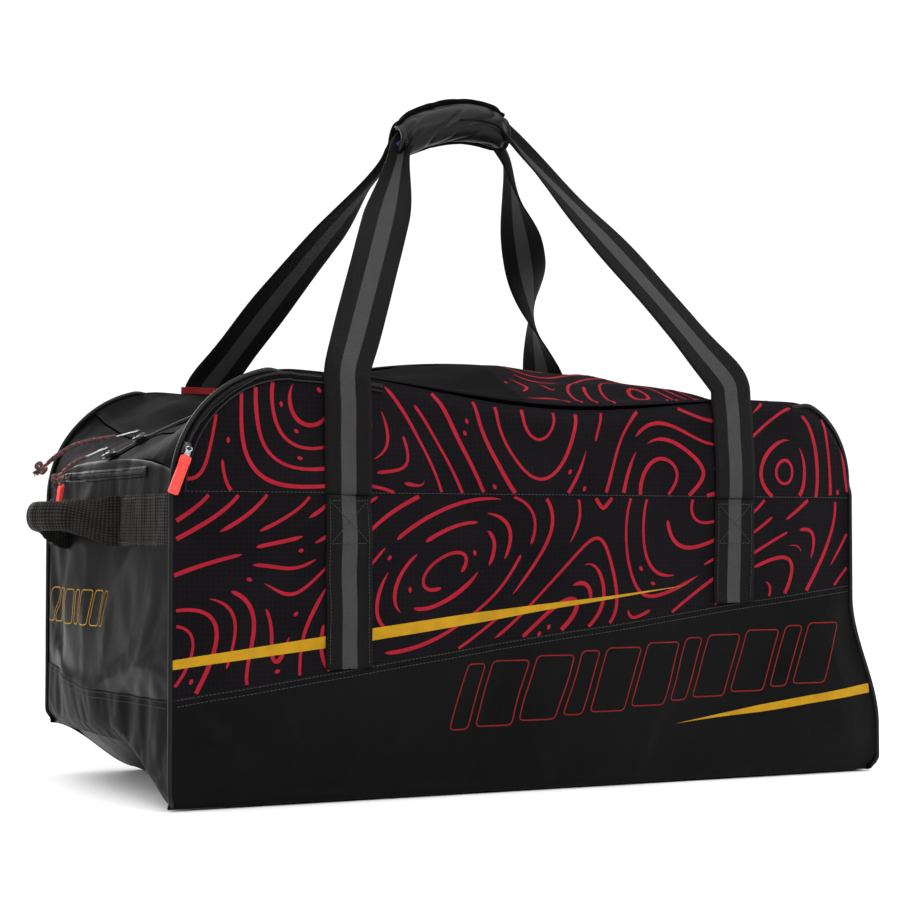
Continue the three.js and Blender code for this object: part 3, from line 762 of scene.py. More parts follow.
def rounded_box(name, size, material, bevel, place=Matrix.Identity(4), segments=3):
    """A block with rounded edges, in place."""
    shape = bmesh.new()
    bmesh.ops.create_cube(shape, size=1)
    bmesh.ops.scale(shape, vec=size, verts=shape.verts)
    edges = list(shape.edges)
    bmesh.ops.bevel(shape, geom=edges, offset=bevel, segments=segments, profile=0.5, affect="EDGES")
    shape.transform(place)
    made = show_shape(name, shape, material)
    made.data.polygons.foreach_set("use_smooth", [True] * len(made.data.polygons))
    return made


# Paracord on the two main tabs
CORDS = {
    "upper": {
        "route": [
            (-0.4396, 0.0004, 0.4115),
            (-0.447, 0.006, 0.410),
            (-0.458, 0.010, 0.4075),
            (-0.485, 0.012, 0.401),
            (-0.506, 0.012, 0.388),
            (-0.517, 0.012, 0.3795),
        ],
        "knot": (-0.5255, 0.012, 0.3725),
        "second": (0.0, -0.0042, 0.0022),
    },
    "lower": {
        "route": [
            (-0.4752, 0.0, 0.3875),
            (-0.484, -0.004, 0.3844),
            (-0.497, -0.008, 0.377),
            (-0.5055, -0.010, 0.368),
        ],
        "knot": (-0.5115, -0.011, 0.3585),
        "second": (0.0, 0.0040, -0.0016),
    },
}
CORD_RADIUS = 0.002
KNOT_RADIUS = 0.00235
STRAND_RADIUS = 0.00042
STRANDS = 26


def knot(name, start, centre, material):
    """An overhand knot with frayed strand ends."""
    direction = (Vector(centre) - Vector(start)).normalized()
    turn = Vector((1, 0, 0)).rotation_difference(direction).to_matrix()
    angles = np.linspace(0, 2 * np.pi, 64, endpoint=False)
    loops = np.stack(
        [
            0.0019 * np.sin(3 * angles) - 0.0010,
            0.0030 * np.sin(angles) + 0.0026 * np.sin(2 * angles),
            0.0030 * np.cos(angles) - 0.0026 * np.cos(2 * angles),
        ],
        axis=1,
    ) * (1.9, 1.25, 1.25)
    line = np.array([turn @ Vector(p) for p in loops]) + np.array(centre)
    line = np.concatenate([line, line[:2]])
    link = np.linspace(start, centre, 8)
    pieces = [tube(name, line, KNOT_RADIUS, material, 8, False), tube(name, link, CORD_RADIUS, material, 12)]
    random = np.random.default_rng(len(name))
    for _ in range(STRANDS):
        out = Vector((random.uniform(0.75, 1.4), random.uniform(-0.5, 0.5), random.uniform(-0.5, 0.5)))
        out = turn @ out.normalized()
        root = np.array(centre) + np.array(direction) * 0.0018 + random.uniform(-0.0018, 0.0018, 3)
        end = root + np.array(out) * random.uniform(0.005, 0.0085)
        bend = (root + end) / 2 + random.uniform(-0.001, 0.001, 3)
        strand = curved([root, bend, end], 0.0016)
        pieces.append(tube(name, strand, STRAND_RADIUS, material, 5))
    return joined(name, pieces)


def add_cords(finishes):
    material = finishes["paracord"]
    for name, facts in CORDS.items():
        path = curved(facts["route"], 0.0022)
        body = name + "_tab"
        cord = tube("main_cord_" + name + "_sheath", path, CORD_RADIUS, material, 12)
        own(cord, body, "paracord", ["main_cord_" + name])
        end = knot("main_cord_" + name + "_knot", facts["route"][-1], facts["knot"], material)
        own(end, body, "paracord", ["main_cord_knot_" + name])
        # The cord is doubled: its second run lies beside the first, from the tab to the knot
        share = np.linspace(0, 1, len(path))[:, None]
        aside = np.array(facts["second"]) * np.sin(np.pi * np.clip(0.12 + 0.80 * share, 0, 1))
        wander = 0.0012 * np.sin(9 * share) * np.array([0, 0.4, 1.0])
        beside = path + aside + wander * share
        second = tube("main_cord_" + name + "_second_run", beside, CORD_RADIUS, material, 12)
        own(second, body, "paracord")
        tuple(facts["route"][0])


# The two long faces
def face_columns():
    """X of a face's columns: close together round the two shoulders."""
    left = LEFT_CREST_X - LEFT_SHOULDER * np.cos(np.linspace(0, np.pi / 2, 17))
    right = RIGHT_CREST_X + RIGHT_SHOULDER_X * np.sin(np.linspace(0, np.pi / 2, 13))
    middle = np.linspace(LEFT_CREST_X, RIGHT_CREST_X, 88)
    return np.concatenate([left[:-1], middle, right[1:]])


LOWER_ROWS = 18
MIDDLE_ROWS = 26
UPPER_ROWS = 18
END_LOWER_ROWS = 18
END_UPPER_ROWS = 34
TOP_ROLL = 0.0065
TOP_SEED = 31
BASE_SEED = 51
FACE_SEEDS = {-1: 11, 1: 17}
END_SEEDS = {-1: 23, 1: 29}
PRINT_SEEDS = {-1: 101, 1: 151}


def face_points(side):
    """The whole face as one grid: columns along X, rows from the base up to the top edge."""
    x = face_columns()[:, None]
    foot = lift(x, side * HALF_WIDTH) + 0.001
    rows = [
        mix(foot, lower_seam(x), np.linspace(0, 1, LOWER_ROWS + 1)[None, :]),
        mix(lower_seam(x), SEAM_Z, np.linspace(0, 1, MIDDLE_ROWS + 1)[None, 1:]),
        mix(SEAM_Z, edge_height(x), np.linspace(0, 1, UPPER_ROWS + 1)[None, 1:]),
    ]
    z = np.concatenate(rows, axis=1)
    x = np.broadcast_to(x, z.shape) + foot_spread(z) * smooth(x, 0.250, RIGHT_END)
    inside = np.minimum(x - LEFT_END, RIGHT_END + foot_spread(z) - x)
    inside = np.minimum(inside, np.minimum(z - foot, edge_height(x) - z + 0.004))
    fullness = smooth(inside, 0.0, 0.09)
    place = np.stack([x, np.zeros_like(x), z], axis=2)
    seed = FACE_SEEDS[side]
    out = 0.0065 * fullness
    out = out + 0.0030 * fullness * ripple(place * (1, 1, 0.7), 0.26, seed)
    out = out + 0.0011 * smooth(inside, 0.0, 0.03) * ripple(place * (0.7, 1, 1.2), 0.075, seed + 1)
    lower = smooth(lower_seam(x) - z, 0.0, 0.02)
    creased = lower * smooth(z - foot, 0.0, 0.03)
    out = out + 0.0022 * creased * folds(place * (0.8, 1, 0.5), 0.12, seed + 2)
    roll_foot = 0.010 * (1 - smooth(z - foot, 0.0, 0.018))
    roll_top = TOP_ROLL * (1 - smooth(edge_height(x) - z, 0.0, 0.016)) * smooth(x, -0.46, -0.40)
    y = side * (HALF_WIDTH + out - roll_foot - roll_top)
    return np.stack([x, y, z], axis=2)


def add_faces(finishes):
    made = {}
    seam, straight = LOWER_ROWS, LOWER_ROWS + MIDDLE_ROWS
    for side, name in SIDES:
        points = face_points(side)
        held = held_points(points, (seam, straight))
        points = settle(points, held, growth=0.012, pressure=0.35, cap=0.0055, flip=side > 0)
        proud = np.array([0, side * LAP, 0])
        spans = {
            "lower": (slice(0, seam + 1), proud, "lower", "coated_tarpaulin"),
            "middle": (slice(seam - 1, straight + 2), 0 * proud, "printed", "printed_polyester"),
            "upper": (slice(straight, None), proud, "printed", "printed_polyester"),
        }
        made |= add_panels(name, points, points[:, :, [0, 2]], spans, side > 0, finishes)
    return made


# The two ends
def end_points(side):
    y = np.linspace(-HALF_WIDTH + 0.0012, HALF_WIDTH - 0.0012, 61)[:, None]
    x_edge = side * RIGHT_END
    foot = lift(x_edge, y) + 0.001
    top = top_height(side * (RIGHT_END - 0.002), y) + 0.001
    z = np.concatenate(
        [
            mix(foot, end_seam(y), np.linspace(0, 1, END_LOWER_ROWS + 1)[None, :]),
            mix(end_seam(y), top, np.linspace(0, 1, END_UPPER_ROWS + 1)[None, 1:]),
        ],
        axis=1,
    )
    y = np.broadcast_to(y, z.shape)
    place = np.stack([np.zeros_like(z), y, z], axis=2)
    seed = END_SEEDS[side]
    inside = np.minimum(HALF_WIDTH - np.abs(y), np.minimum(z - foot, top - z + 0.02))
    fullness = smooth(inside, 0.0, 0.07)
    slant = np.stack([0 * z, y * 1.5 + z * 0.5, z * 0.55 - y * 0.5], axis=2)
    out = end_bulge(y, z)
    out = out + 0.0035 * fullness * ripple(slant, 0.19, seed)
    out = out + 0.0026 * fullness * folds(slant, 0.16, seed + 1)
    out = out + 0.0007 * smooth(inside, 0.0, 0.03) * ripple(slant, 0.06, seed + 2)
    roll = 0.009 * (1 - smooth(z - foot, 0.0, 0.018))
    x = side * (RIGHT_END + out - roll + (foot_spread(z) if side > 0 else 0))
    return np.stack([x, y, z], axis=2)


def add_ends(finishes):
    made = {}
    for side, name in ENDS:
        points = end_points(side)
        held = held_points(points, [END_LOWER_ROWS])
        points = settle(points, held, growth=0.008, pressure=0.35, cap=0.0045, flip=side < 0)
        proud = np.array([side * LAP, 0, 0])
        lower = "lower" if side > 0 else "end_lower"
        spans = {
            "lower": (slice(0, END_LOWER_ROWS + 1), proud, lower, "coated_tarpaulin"),
            "upper": (slice(END_LOWER_ROWS - 1, None), 0 * proud, "gloss", "coated_tarpaulin"),
        }
        made |= add_panels(name + "_end", points, points[:, :, [1, 2]], spans, side < 0, finishes)
    return made


# The top
def top_points(x, y, seed):
    """A grid of points on the top; x and y are the columns and rows."""
    x, y = np.meshgrid(x, y, indexing="ij")
    place = np.stack([x, y, 0 * x], axis=2)
    inside = np.minimum(HALF_WIDTH - np.abs(y), np.minimum(x - LEFT_END, RIGHT_END - x))
    full = smooth(inside, 0.004, 0.05) * smooth(np.abs(y), 0.006, 0.03)
    full = full * (1 - 0.75 * smooth(-x, 0.330, 0.385))
    z = top_height(x, y)
    z = z + 0.0028 * full * ripple(place * (0.8, 1.4, 1), 0.16, seed)
    z = z + 0.0040 * full * (folds(place * (0.5, 1.3, 1), 0.14, seed + 1) - 0.3)
    z = z + 0.0009 * full * ripple(place, 0.05, seed + 2)
    hood = smooth(-x, 0.20, 0.33) * smooth(np.abs(y), 0.08, 0.17) * (1 - smooth(np.abs(y), 0.19, 0.222))
    z = z + 0.004 * hood
    edge = smooth(np.abs(y), HALF_WIDTH - 0.012, HALF_WIDTH - 0.0055)
    return np.stack([x, y, z - 0.0015 * edge], axis=2)


def add_top(finishes):
    made = {}
    for side, name in SIDES:
        x = np.linspace(FLAP_LEFT, FLAP_RIGHT, 107)
        y = side * np.concatenate(
            [np.linspace(HALF_WIDTH - 0.0055, 0.112, 20), np.linspace(0.106, 0.0004, 22)]
        )
        points = top_points(x, y, TOP_SEED)
        held = held_points(points)
        points = settle(points, held, growth=0.010, pressure=0.25, cap=0.005, flip=side < 0)
        middle = (x[:-1] + x[1:]) / 2
        printed = np.broadcast_to((middle > PRINTED_TOP_FROM_X)[:, None], (len(x) - 1, len(y) - 1))
        lid = grid_mesh(
            f"{name}_top_cloth",
            points,
            None,
            points[:, :, [0, 1]],
            flip=side < 0,
            materials=[finishes["black"], finishes["printed"]],
            face_materials=printed.ravel().astype(int),
        )
        rounder(thicken(lid, PANEL_THICKNESS))
        own(lid, None, "black_polyester", [f"{name}_flap_panel"])
        stretched(points)
        made[name + "_top"] = lid
    for side, name, edge in ((-1, "left", FLAP_LEFT), (1, "right", FLAP_RIGHT)):
        outer = side * (RIGHT_END - 0.0012)
        if side < 0:
            turn = np.linspace(0.13, math.acos((LEFT_CREST_X - edge) / LEFT_SHOULDER), 14)
            x = LEFT_CREST_X - LEFT_SHOULDER * np.cos(turn)
        else:
            turn = np.linspace(math.asin((edge - RIGHT_CREST_X) / RIGHT_SHOULDER_X), 1.43, 14)
            x = RIGHT_CREST_X + RIGHT_SHOULDER_X * np.sin(turn)
        x[0 if side < 0 else -1] = outer
        y = np.linspace(-HALF_WIDTH + 0.0055, HALF_WIDTH - 0.0055, 83)
        points = top_points(x, y, TOP_SEED)
        # The left piece takes the darker copy of the coated cloth, painted shade for the hollow there
        finish = "shaded_valley" if side < 0 else "printed"
        slot = "coated_tarpaulin" if side < 0 else "printed_polyester"
        piece = grid_mesh(f"{name}_top_cloth", points, finishes[finish], points[:, :, [0, 1]])
        rounder(thicken(piece, PANEL_THICKNESS))
        nodes = ["left_top_end"] if side < 0 else ["right_top_end", "front_top_gusset", "rear_top_gusset"]
        own(piece, "bag", slot, nodes)
        stretched(points)
        made[name + "_top"] = piece
    return made


def add_base(finishes):
    x = np.concatenate([np.linspace(-0.4485, 0.40, 80), np.linspace(0.41, 0.4885, 12)])
    y = np.linspace(-HALF_WIDTH + 0.0095, HALF_WIDTH - 0.0095, 45)
    gx, gy = np.meshgrid(x, y, indexing="ij")
    place = np.stack([gx, gy, 0 * gx], axis=2)
    inset = 0.009 * np.sign(gx) * smooth(np.abs(gx), 0.40, 0.44)
    z = lift(gx, gy) + 0.0012 + 0.0007 * (1 + ripple(place, 0.12, BASE_SEED))
    points = np.stack([gx - inset, gy, z], axis=2)
    base = grid_mesh("base_cloth", points, finishes["lower"], points[:, :, [0, 1]], flip=True)
    rounder(thicken(base, 0.0022))
    own(base, "bag", "coated_tarpaulin", ["base_panel"])
    stretched(points)
    return base


# Floor, lights and surroundings. Soft boxes: place, aim, side in metres and power in watts
SOFTBOXES = {
    "left_softbox": ((-2.6, 0.9, 1.0), (-0.3, 0.0, 0.25), 1.0, 24),
    "front_softbox": ((0.6, -3.2, 2.1), (0.1, 0.0, 0.30), 1.6, 55),
    "right_softbox": ((2.8, -0.6, 1.4), (0.2, 0.0, 0.30), 1.2, 30),
    "rear_softbox": ((-0.6, 3.0, 1.6), (0.0, 0.0, 0.30), 1.6, 40),
}
BACKDROP_STRENGTH = 1.1
ROOM_STRENGTH = 0.20
OVERHEAD_STRENGTH = 3.6


def add_studio():
    bpy.ops.mesh.primitive_plane_add(size=30, location=(0, 0, -0.0005))
    floor = bpy.context.object
    floor.name = "floor"
    made = Finish("floor", Specular_IOR_Level=0.1)
    soft = made.noise(2, 2)
    color = made.blend(made.spread(soft, 0.3, 0.7, 0, 1), (0.90, 0.90, 0.90), (0.92, 0.92, 0.92))
    floor.data.materials.append(made.finish(color, made.spread(soft, 0.3, 0.7, 0.85, 0.9)))
    floor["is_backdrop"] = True
    world = bpy.data.worlds.new("studio")
    world.use_nodes = True
    nodes, links = world.node_tree.nodes, world.node_tree.links
    backdrop, room = nodes["Background"], nodes.new("ShaderNodeBackground")
    # The camera sees a white backdrop; every other ray meets a dim room
    backdrop.inputs["Strength"].default_value = BACKDROP_STRENGTH
    room.inputs["Strength"].default_value = ROOM_STRENGTH
    for shade in (backdrop, room):
        shade.inputs["Color"].default_value = (1, 1, 1, 1)
    rays, either = nodes.new("ShaderNodeLightPath"), nodes.new("ShaderNodeMixShader")
    links.new(rays.outputs["Is Camera Ray"], either.inputs[0])
    links.new(room.outputs[0], either.inputs[1])
    links.new(backdrop.outputs[0], either.inputs[2])
    links.new(either.outputs[0], nodes["World Output"].inputs["Surface"])
    bpy.context.scene.world = world
    overhead = bpy.data.lights.new("overhead", "SUN")
    overhead.energy = OVERHEAD_STRENGTH
    overhead.angle = math.radians(100)
    hung = show("overhead", overhead)
    hung.rotation_euler = (math.radians(8), math.radians(-6), 0)
    for name, (place, aim, size, power) in SOFTBOXES.items():
        data = bpy.data.lights.new(name, "AREA")
        data.size = size
        data.energy = power
        light = show(name, data)
        light.location = place
        light.rotation_euler = (Vector(aim) - Vector(place)).to_track_quat("-Z", "Y").to_euler()
    bpy.context.scene.view_settings.view_transform = "Standard"


class Strips:
    """Flat strips laid on the cloth, gathered into one mesh."""

    def __init__(self):
        self.points, self.faces, self.uv = [], [], []

    def add(self, points, uv=None, wrap=False):
        rows, columns = points.shape[:2]
        faces = grid_faces(rows, columns) + len(self.points)
        self.faces += faces.tolist()
        if wrap:
            first = len(self.points)
            last = first + (rows - 1) * columns
            for j in range(columns - 1):
                self.faces.append((last + j, first + j, first + j + 1, last + j + 1))
        self.points += points.reshape(-1, 3).tolist()
        self.uv += (grid_uv(points) if uv is None else uv).reshape(-1, 2).tolist()

    def make(self, name, material):
        return add_mesh(name, self.points, self.faces, material, self.uv)


class Cloth:
    """One side of the bag to lay things on: flat coordinates (a, b) and the way in to the cloth."""

    def __init__(self, pieces, way_in, place):
        self.tree = tree_of(pieces)
        self.way_in = way_in
        self.place = place

    def on(self, flat, proud):
        shape = flat.shape[:-1]
        carried = self.place(flat.reshape(-1, 2))
        points, normals = on_surface(self.tree, carried, self.way_in, proud)
        return points.reshape(*shape, 3), normals.reshape(*shape, 3)

    def strip(self, line, half_widths, proud, count=3, closed=False):
        """A flat strip along a line of flat coordinates."""
        following = np.roll(line, -1, axis=0) if closed else line
        before = np.roll(line, 1, axis=0) if closed else line
        tangents = unit(following - before) if closed else unit(np.gradient(line, axis=0))
        across = np.stack([-tangents[:, 1], tangents[:, 0]], axis=1)
        flat = ribbon_points(line, np.broadcast_to(half_widths, len(line)), across, count)
        return self.on(flat, proud)[0]


def face_cloth(pieces, side):
    place = lambda flat: np.stack([flat[:, 0], np.full(len(flat), side * 0.24), flat[:, 1]], axis=1)
    return Cloth(pieces, (0, -side, 0), place)


def end_cloth(pieces, side):
    place = lambda flat: np.stack([np.full(len(flat), side * 0.47), flat[:, 0], flat[:, 1]], axis=1)
    return Cloth(pieces, (-side, 0, 0), place)


def top_cloth(pieces):
    place = lambda flat: np.stack([flat[:, 0], flat[:, 1], top_height(flat[:, 0], flat[:, 1])], axis=1)
    return Cloth(pieces, (0, 0, -1), place)


# The print: evenly spaced contour lines of a smooth seeded field, broken here and there
LINE_PACE = 0.003
LINE_TRIES = 2600
# Distances kept to other lines, in spacings: to start a line, to go on with it, and for a dot
LINE_STARTS = 0.90
LINE_STOPS = 0.66
DOT_CLEARANCE = 0.46
DOT_TRIES = 110
LINE_LENGTHS = (0.05, 0.11, 0.18, 0.28)


def contour_direction(seed):
    random = np.random.default_rng(seed)
    turns = random.uniform(0, 2 * np.pi, 7)
    numbers = 2 * np.pi / random.uniform(0.20, 0.46, 7)
    waves = np.stack([np.cos(turns), np.sin(turns)], axis=1) * numbers[:, None]
    phases = random.uniform(0, 2 * np.pi, 7)

    def direction(point):
        slope = (waves * np.cos(waves @ point + phases)[:, None]).sum(0)
        return np.array([-slope[1], slope[0]]) / max(float(np.hypot(*slope)), 1e-9)

    return direction


def nearest(cloud, point):
    """How far the cloud's nearest point is."""
    if not len(cloud):
        return math.inf
    return float(np.min(np.hypot(cloud[:, 0] - point[0], cloud[:, 1] - point[1])))


def trace(start, sign, direction, inside, cloud, longest):
    """A contour from a start, until it leaves the cloth or comes near another line."""
    line = [start]
    for _ in range(int(longest / LINE_PACE)):
        point = line[-1]
        half = point + direction(point) * sign * LINE_PACE / 2
        following = point + direction(half) * sign * LINE_PACE
        if not inside(*following):
            return line, True
        if nearest(cloud, following) < LINE_STOPS * PRINT_SPACING:
            return line, False
        if len(line) > 14 and nearest(np.array(line[:-12]), following) < LINE_STOPS * PRINT_SPACING:
            return line, False
        line.append(following)
    return line, False


def contour_lines(low, high, inside, seed):
    """Lines as (points, whether each end is cut off at the cloth's edge), and lone dots."""
    random = np.random.default_rng(seed)
    direction = contour_direction(seed)
    cloud, lines, dots = np.zeros((0, 2)), [], []
    for start in random.uniform(low, high, (LINE_TRIES, 2)):
        if not inside(*start) or nearest(cloud, start) < LINE_STARTS * PRINT_SPACING:
            continue
        longest = random.choice(LINE_LENGTHS)
        ahead, cut_ahead = trace(start, 1, direction, inside, cloud, longest)
        behind, cut_behind = trace(start, -1, direction, inside, cloud, longest)
        line = np.array(behind[:0:-1] + ahead)
        if len(line) < 8:
            continue
        lines.append((line, cut_behind, cut_ahead))
        cloud = np.concatenate([cloud, line])
    for start in random.uniform(low, high, (DOT_TRIES, 2)):
        if inside(*start) and nearest(cloud, start) > DOT_CLEARANCE * PRINT_SPACING:
            turn = direction(start)
            line = start + np.linspace(-0.0034, 0.0034, 6)[:, None] * turn
            dots.append(line)
            cloud = np.concatenate([cloud, line])
    return lines, dots


def line_widths(line, cut_start, cut_end, random):
    lengths = np.arange(len(line)) * LINE_PACE
    width = PRINT_HALF_WIDTH * random.uniform(0.86, 1.08)
    swell = 1 + 0.16 * np.sin(lengths / random.uniform(0.02, 0.05) + random.uniform(0, 6))
    half = width * swell
    for cut, distance in ((cut_start, lengths), (cut_end, lengths[::-1])):
        if not cut:
            half = half * np.clip(distance / random.choice([0.004, 0.009, 0.022]), 0.02, 1) ** 0.55
    return half


def add_print(name, cloth, low, high, inside, seed, finishes, body, blend_side=None):
    lines, dots = contour_lines(low, high, inside, seed)
    random = np.random.default_rng(seed + 1)
    strips = Strips()
    for line, cut_start, cut_end in lines:
        strips.add(cloth.strip(line, line_widths(line, cut_start, cut_end, random), INK_PROUD))
    for line in dots:
        half = np.array([0.15, 0.75, 1.0, 1.0, 0.7, 0.1]) * PRINT_HALF_WIDTH
        strips.add(cloth.strip(line, half, INK_PROUD))
    piece = strips.make(name, finishes["red_ink"])
    if blend_side is None:
        own(piece, body)
    else:
        follow_flap(piece, blend_side)
    return piece


def follow_flap(piece, side):
    """Bakes the piece's place into its mesh."""
    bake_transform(piece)


def add_prints(clothes, finishes):
    margin = 0.003
    for side, name in SIDES:
        cloth = clothes[name]

        def in_middle(x, z):
            return LEFT_END + margin < x < RIGHT_END - margin and lower_seam(x) < z < SEAM_Z - 0.0005

        def in_upper(x, z):
            band = POCKET_BAND if side < 0 and x < POCKET_END_X else 0.004
            top = edge_height(np.array(x)) - band
            round_left = math.hypot(x - LEFT_CREST_X, z - SEAM_Z) < LEFT_SHOULDER - band
            on_panel = LEFT_END + band < x < RIGHT_END - margin and SEAM_Z + 0.0025 < z < top
            return on_panel and (x > LEFT_CREST_X or round_left)

        seed = PRINT_SEEDS[side]
        low, high = (LEFT_END, 0.12), (RIGHT_END, SEAM_Z)
        add_print(name + "_middle_print", cloth, low, high, in_middle, seed, finishes, "bag")
        low, high = (LEFT_END, SEAM_Z), (RIGHT_END, 0.485)
        add_print(name + "_upper_print", cloth, low, high, in_upper, seed + 7, finishes, "bag")

        def in_top(x, y):
            along = PRINTED_TOP_FROM_X + 0.004 < x < FLAP_RIGHT - 0.002
            return along and 0.012 < side * y < HALF_WIDTH - 0.0075

        low = (PRINTED_TOP_FROM_X, min(0.012 * side, HALF_WIDTH * side))
        high = (FLAP_RIGHT, max(0.012 * side, HALF_WIDTH * side))
        add_print(name + "_top_print", clothes["top"], low, high, in_top, seed + 13, finishes, None, side)

        def in_end(x, y):
            along = FLAP_RIGHT + 0.002 < x < RIGHT_END - 0.008
            return along and 0.014 < side * y < HALF_WIDTH - 0.0075

        low = (FLAP_RIGHT, low[1])
        high = (RIGHT_END, high[1])
        add_print(name + "_top_end_print", clothes["top"], low, high, in_end, seed + 19, finishes, "bag")


# Accents: two tapered yellow stripes on each long face, and rows of plain outlined slanted bars
# Each stripe: from (x, z) to (x, z), its half width at the start and further on
STRIPES = (
    ((-0.4495, 0.1570), (0.1976, 0.2367), 0.0052, 0.0068),
    ((0.4780, 0.1050), (0.1876, 0.0714), 0.0058, 0.0050),
)


def add_stripes(clothes, finishes):
    for side, name in SIDES:
        strips = Strips()
        for start, end, half_start, half_middle in STRIPES:
            start, end = np.array(start), np.array(end)
            share = np.linspace(0, 1, int(np.linalg.norm(end - start) / 0.004))
            line = mix(start, end, share[:, None])
            full = mix(half_start, half_middle, smooth(share, 0.0, 0.35))
            narrowed = 1 - smooth(share, 0.30, 1.25) * 0.6
            half = full * narrowed * np.clip((1 - share) / 0.42, 0.01, 1) ** 0.9
            strips.add(clothes[name].strip(line, half, INK_PROUD + 0.0002, 7))
        own(strips.make(name + "_yellow_stripes", finishes["yellow_ink"]), "bag", "printed_polyester")


def slanted_bar(left, bottom, width, height, slant, corner=0.006):
    """A closed outline of a slanted bar with rounded corners."""
    corners = np.array(
        [
            (left, bottom),
            (left + width, bottom),
            (left + width + slant, bottom + height),
            (left + slant, bottom + height),
        ]
    )
    out = []
    for k in range(4):
        here, before, after = corners[k], corners[k - 1], corners[(k + 1) % 4]
        start = here + unit(before - here) * corner
        end = here + unit(after - here) * corner
        for t in np.linspace(0, 1, 7):
            out.append((1 - t) ** 2 * start + 2 * t * (1 - t) * here + t * t * end)
    out = np.array(out)
    return resampled(np.concatenate([out, out[:1]]), 0.0022)[:-1]


# Each row of bars: start, stop, number of bars, height of its foot, its rise, a bar's height and slant
FACE_BARS = (-0.118, 0.428, 11, 0.0755, 0.082, 0.074, 0.34)
END_BARS = (-0.030, 0.196, 9, 0.192, 0.0, 0.041, -0.30)
BAR_GAP = 0.22  # in bar widths
FACE_BAR_LINE = 0.00075  # half the width of an outline
END_BAR_LINE = 0.00060


def bar_row(start, stop, bars, base, slope, height, slant):
    """Outlines of a row of slanted bars, by turns wide and narrow."""
    widths = np.array([1.0 if k % 3 else 0.5 for k in range(bars)])
    unit_width = (stop - start - slant * height) / (widths.sum() + BAR_GAP * (bars - 1))
    left = start
    for width in widths * unit_width:
        bottom = base + slope * (left - start)
        yield slanted_bar(left, bottom, width, height, slant * height)
        left += width + BAR_GAP * unit_width


def add_marks(clothes, finishes):
    marks = {
        "front": (FACE_BARS, FACE_BAR_LINE, "dark_red_ink"),
        "rear": (FACE_BARS, FACE_BAR_LINE, "dark_red_ink"),
        "left_end": (END_BARS, END_BAR_LINE, "yellow_ink"),
        "right_end": (END_BARS, END_BAR_LINE, "yellow_ink"),
    }
    for name, (row, half_width, finish) in marks.items():
        strips = Strips()
        for outline in bar_row(*row):
            strips.add(clothes[name].strip(outline, half_width, INK_PROUD, 2, True), wrap=True)
        own(strips.make(name + "_bar_outlines", finishes[finish]), "bag", "coated_tarpaulin")


# Seams: double needle rows on the lapped edges
def seam_row(cloth, points, proud=0.0001):
    return cloth.on(resampled(np.asarray(points, float), 0.004), proud)


def double_rows(cloth, along, heights):
    """Two rows below a lapped edge."""
    return [seam_row(cloth, np.stack([along, heights - down], axis=1)) for down in (0.0030, 0.0095)]


def add_seams(clothes, finishes):
    x = np.linspace(LEFT_END + 0.004, RIGHT_END - 0.002, 160)
    for name in ("front", "rear"):
        cloth = clothes[name]
        rows = double_rows(cloth, x, lower_seam(x))
        own(stitches(name + "_lower_seam", rows, finishes["pale_thread"]), "bag", "coated_tarpaulin")
        rows = [seam_row(cloth, np.stack([x, 0 * x + SEAM_Z + 0.0022], axis=1))]
        own(stitches(name + "_straight_seam", rows, finishes["pale_thread"]), "bag", "printed_polyester")
    y = np.linspace(-HALF_WIDTH + 0.006, HALF_WIDTH - 0.006, 90)
    for name in ("left_end", "right_end"):
        rows = double_rows(clothes[name], y, end_seam(y))
        own(stitches(name + "_seam", rows, finishes["pale_thread"]), "bag", "coated_tarpaulin")


def webbing_stitches(name, rows, finishes):
    return stitches(name, rows, finishes["dark_thread"], pitch=0.0040, length=0.0030, radius=0.0005)


# Webbing carry handles
def box_stitch_rows(cloth, centre, half_width, low, high, proud):
    """Stitching that holds a strap: two edge rows and a crossed box at the top."""
    rows = []
    for offset in (-half_width, half_width):
        line = np.array([(centre + offset, low), (centre + offset, high)])
        rows.append(seam_row(cloth, line, proud))
    bottom, top = high - 2.1 * half_width, high - 0.003
    a, b = (centre - half_width, bottom), (centre + half_width, bottom)
    c, d = (centre + half_width, top), (centre - half_width, top)
    for start, end in ((a, b), (c, d), (a, c), (b, d)):
        rows.append(seam_row(cloth, np.array([start, end]), proud))
    return rows


def add_strap_bases(clothes, finishes):
    for side, name in SIDES:
        cloth = clothes[name]
        for end, x in STRAP_X.items():
            half = WEBBING_WIDTH / 2
            low = lower_seam(x) - 0.001
            line = np.stack([np.full(60, x), np.linspace(low, SEAM_Z - 0.0006, 60)], axis=1)
            points = cloth.strip(line, half, STRAP_PROUD, ACROSS)
            shares = np.linspace(-1, 1, ACROSS)
            uv = pairs(line[:, 1], shares * half)[:, :, ::-1]
            strap = grid_mesh(f"{name}_{end}_strap_sewn", points, finishes["striped"], uv, flip=side > 0)
            thicken(strap, SEWN_THICKNESS, OUTWARD)
            own(strap, "bag", "striped_webbing", [f"{name}_{end}_strap_base"])
            rows = box_stitch_rows(cloth, x, half - 0.0045, low + 0.004, SEAM_Z - 0.004, STITCH_PROUD)
            sewing = webbing_stitches(f"{name}_{end}_strap_stitches", rows, finishes)
            own(sewing, "bag", "striped_webbing")


GRIP_MIDDLE_Z = 0.822
# X of each leg a little below the grip, and where it enters it
LEG_NECKS = {"left": (-0.080, -0.069), "right": (0.099, 0.078)}
# How much of its width each leg loses where it is folded into the grip
NARROWING = {"left": 0.54, "right": 0.36}
# How far each leg is turned about its own line, radians
TWISTS = {
    ("front", "left"): 0.62,
    ("front", "right"): -0.35,
    ("rear", "left"): -0.75,
    ("rear", "right"): 5.0,
}


def grip_height(x):
    return GRIP_MIDDLE_Z + 0.16 * x - 3.2 * x * x


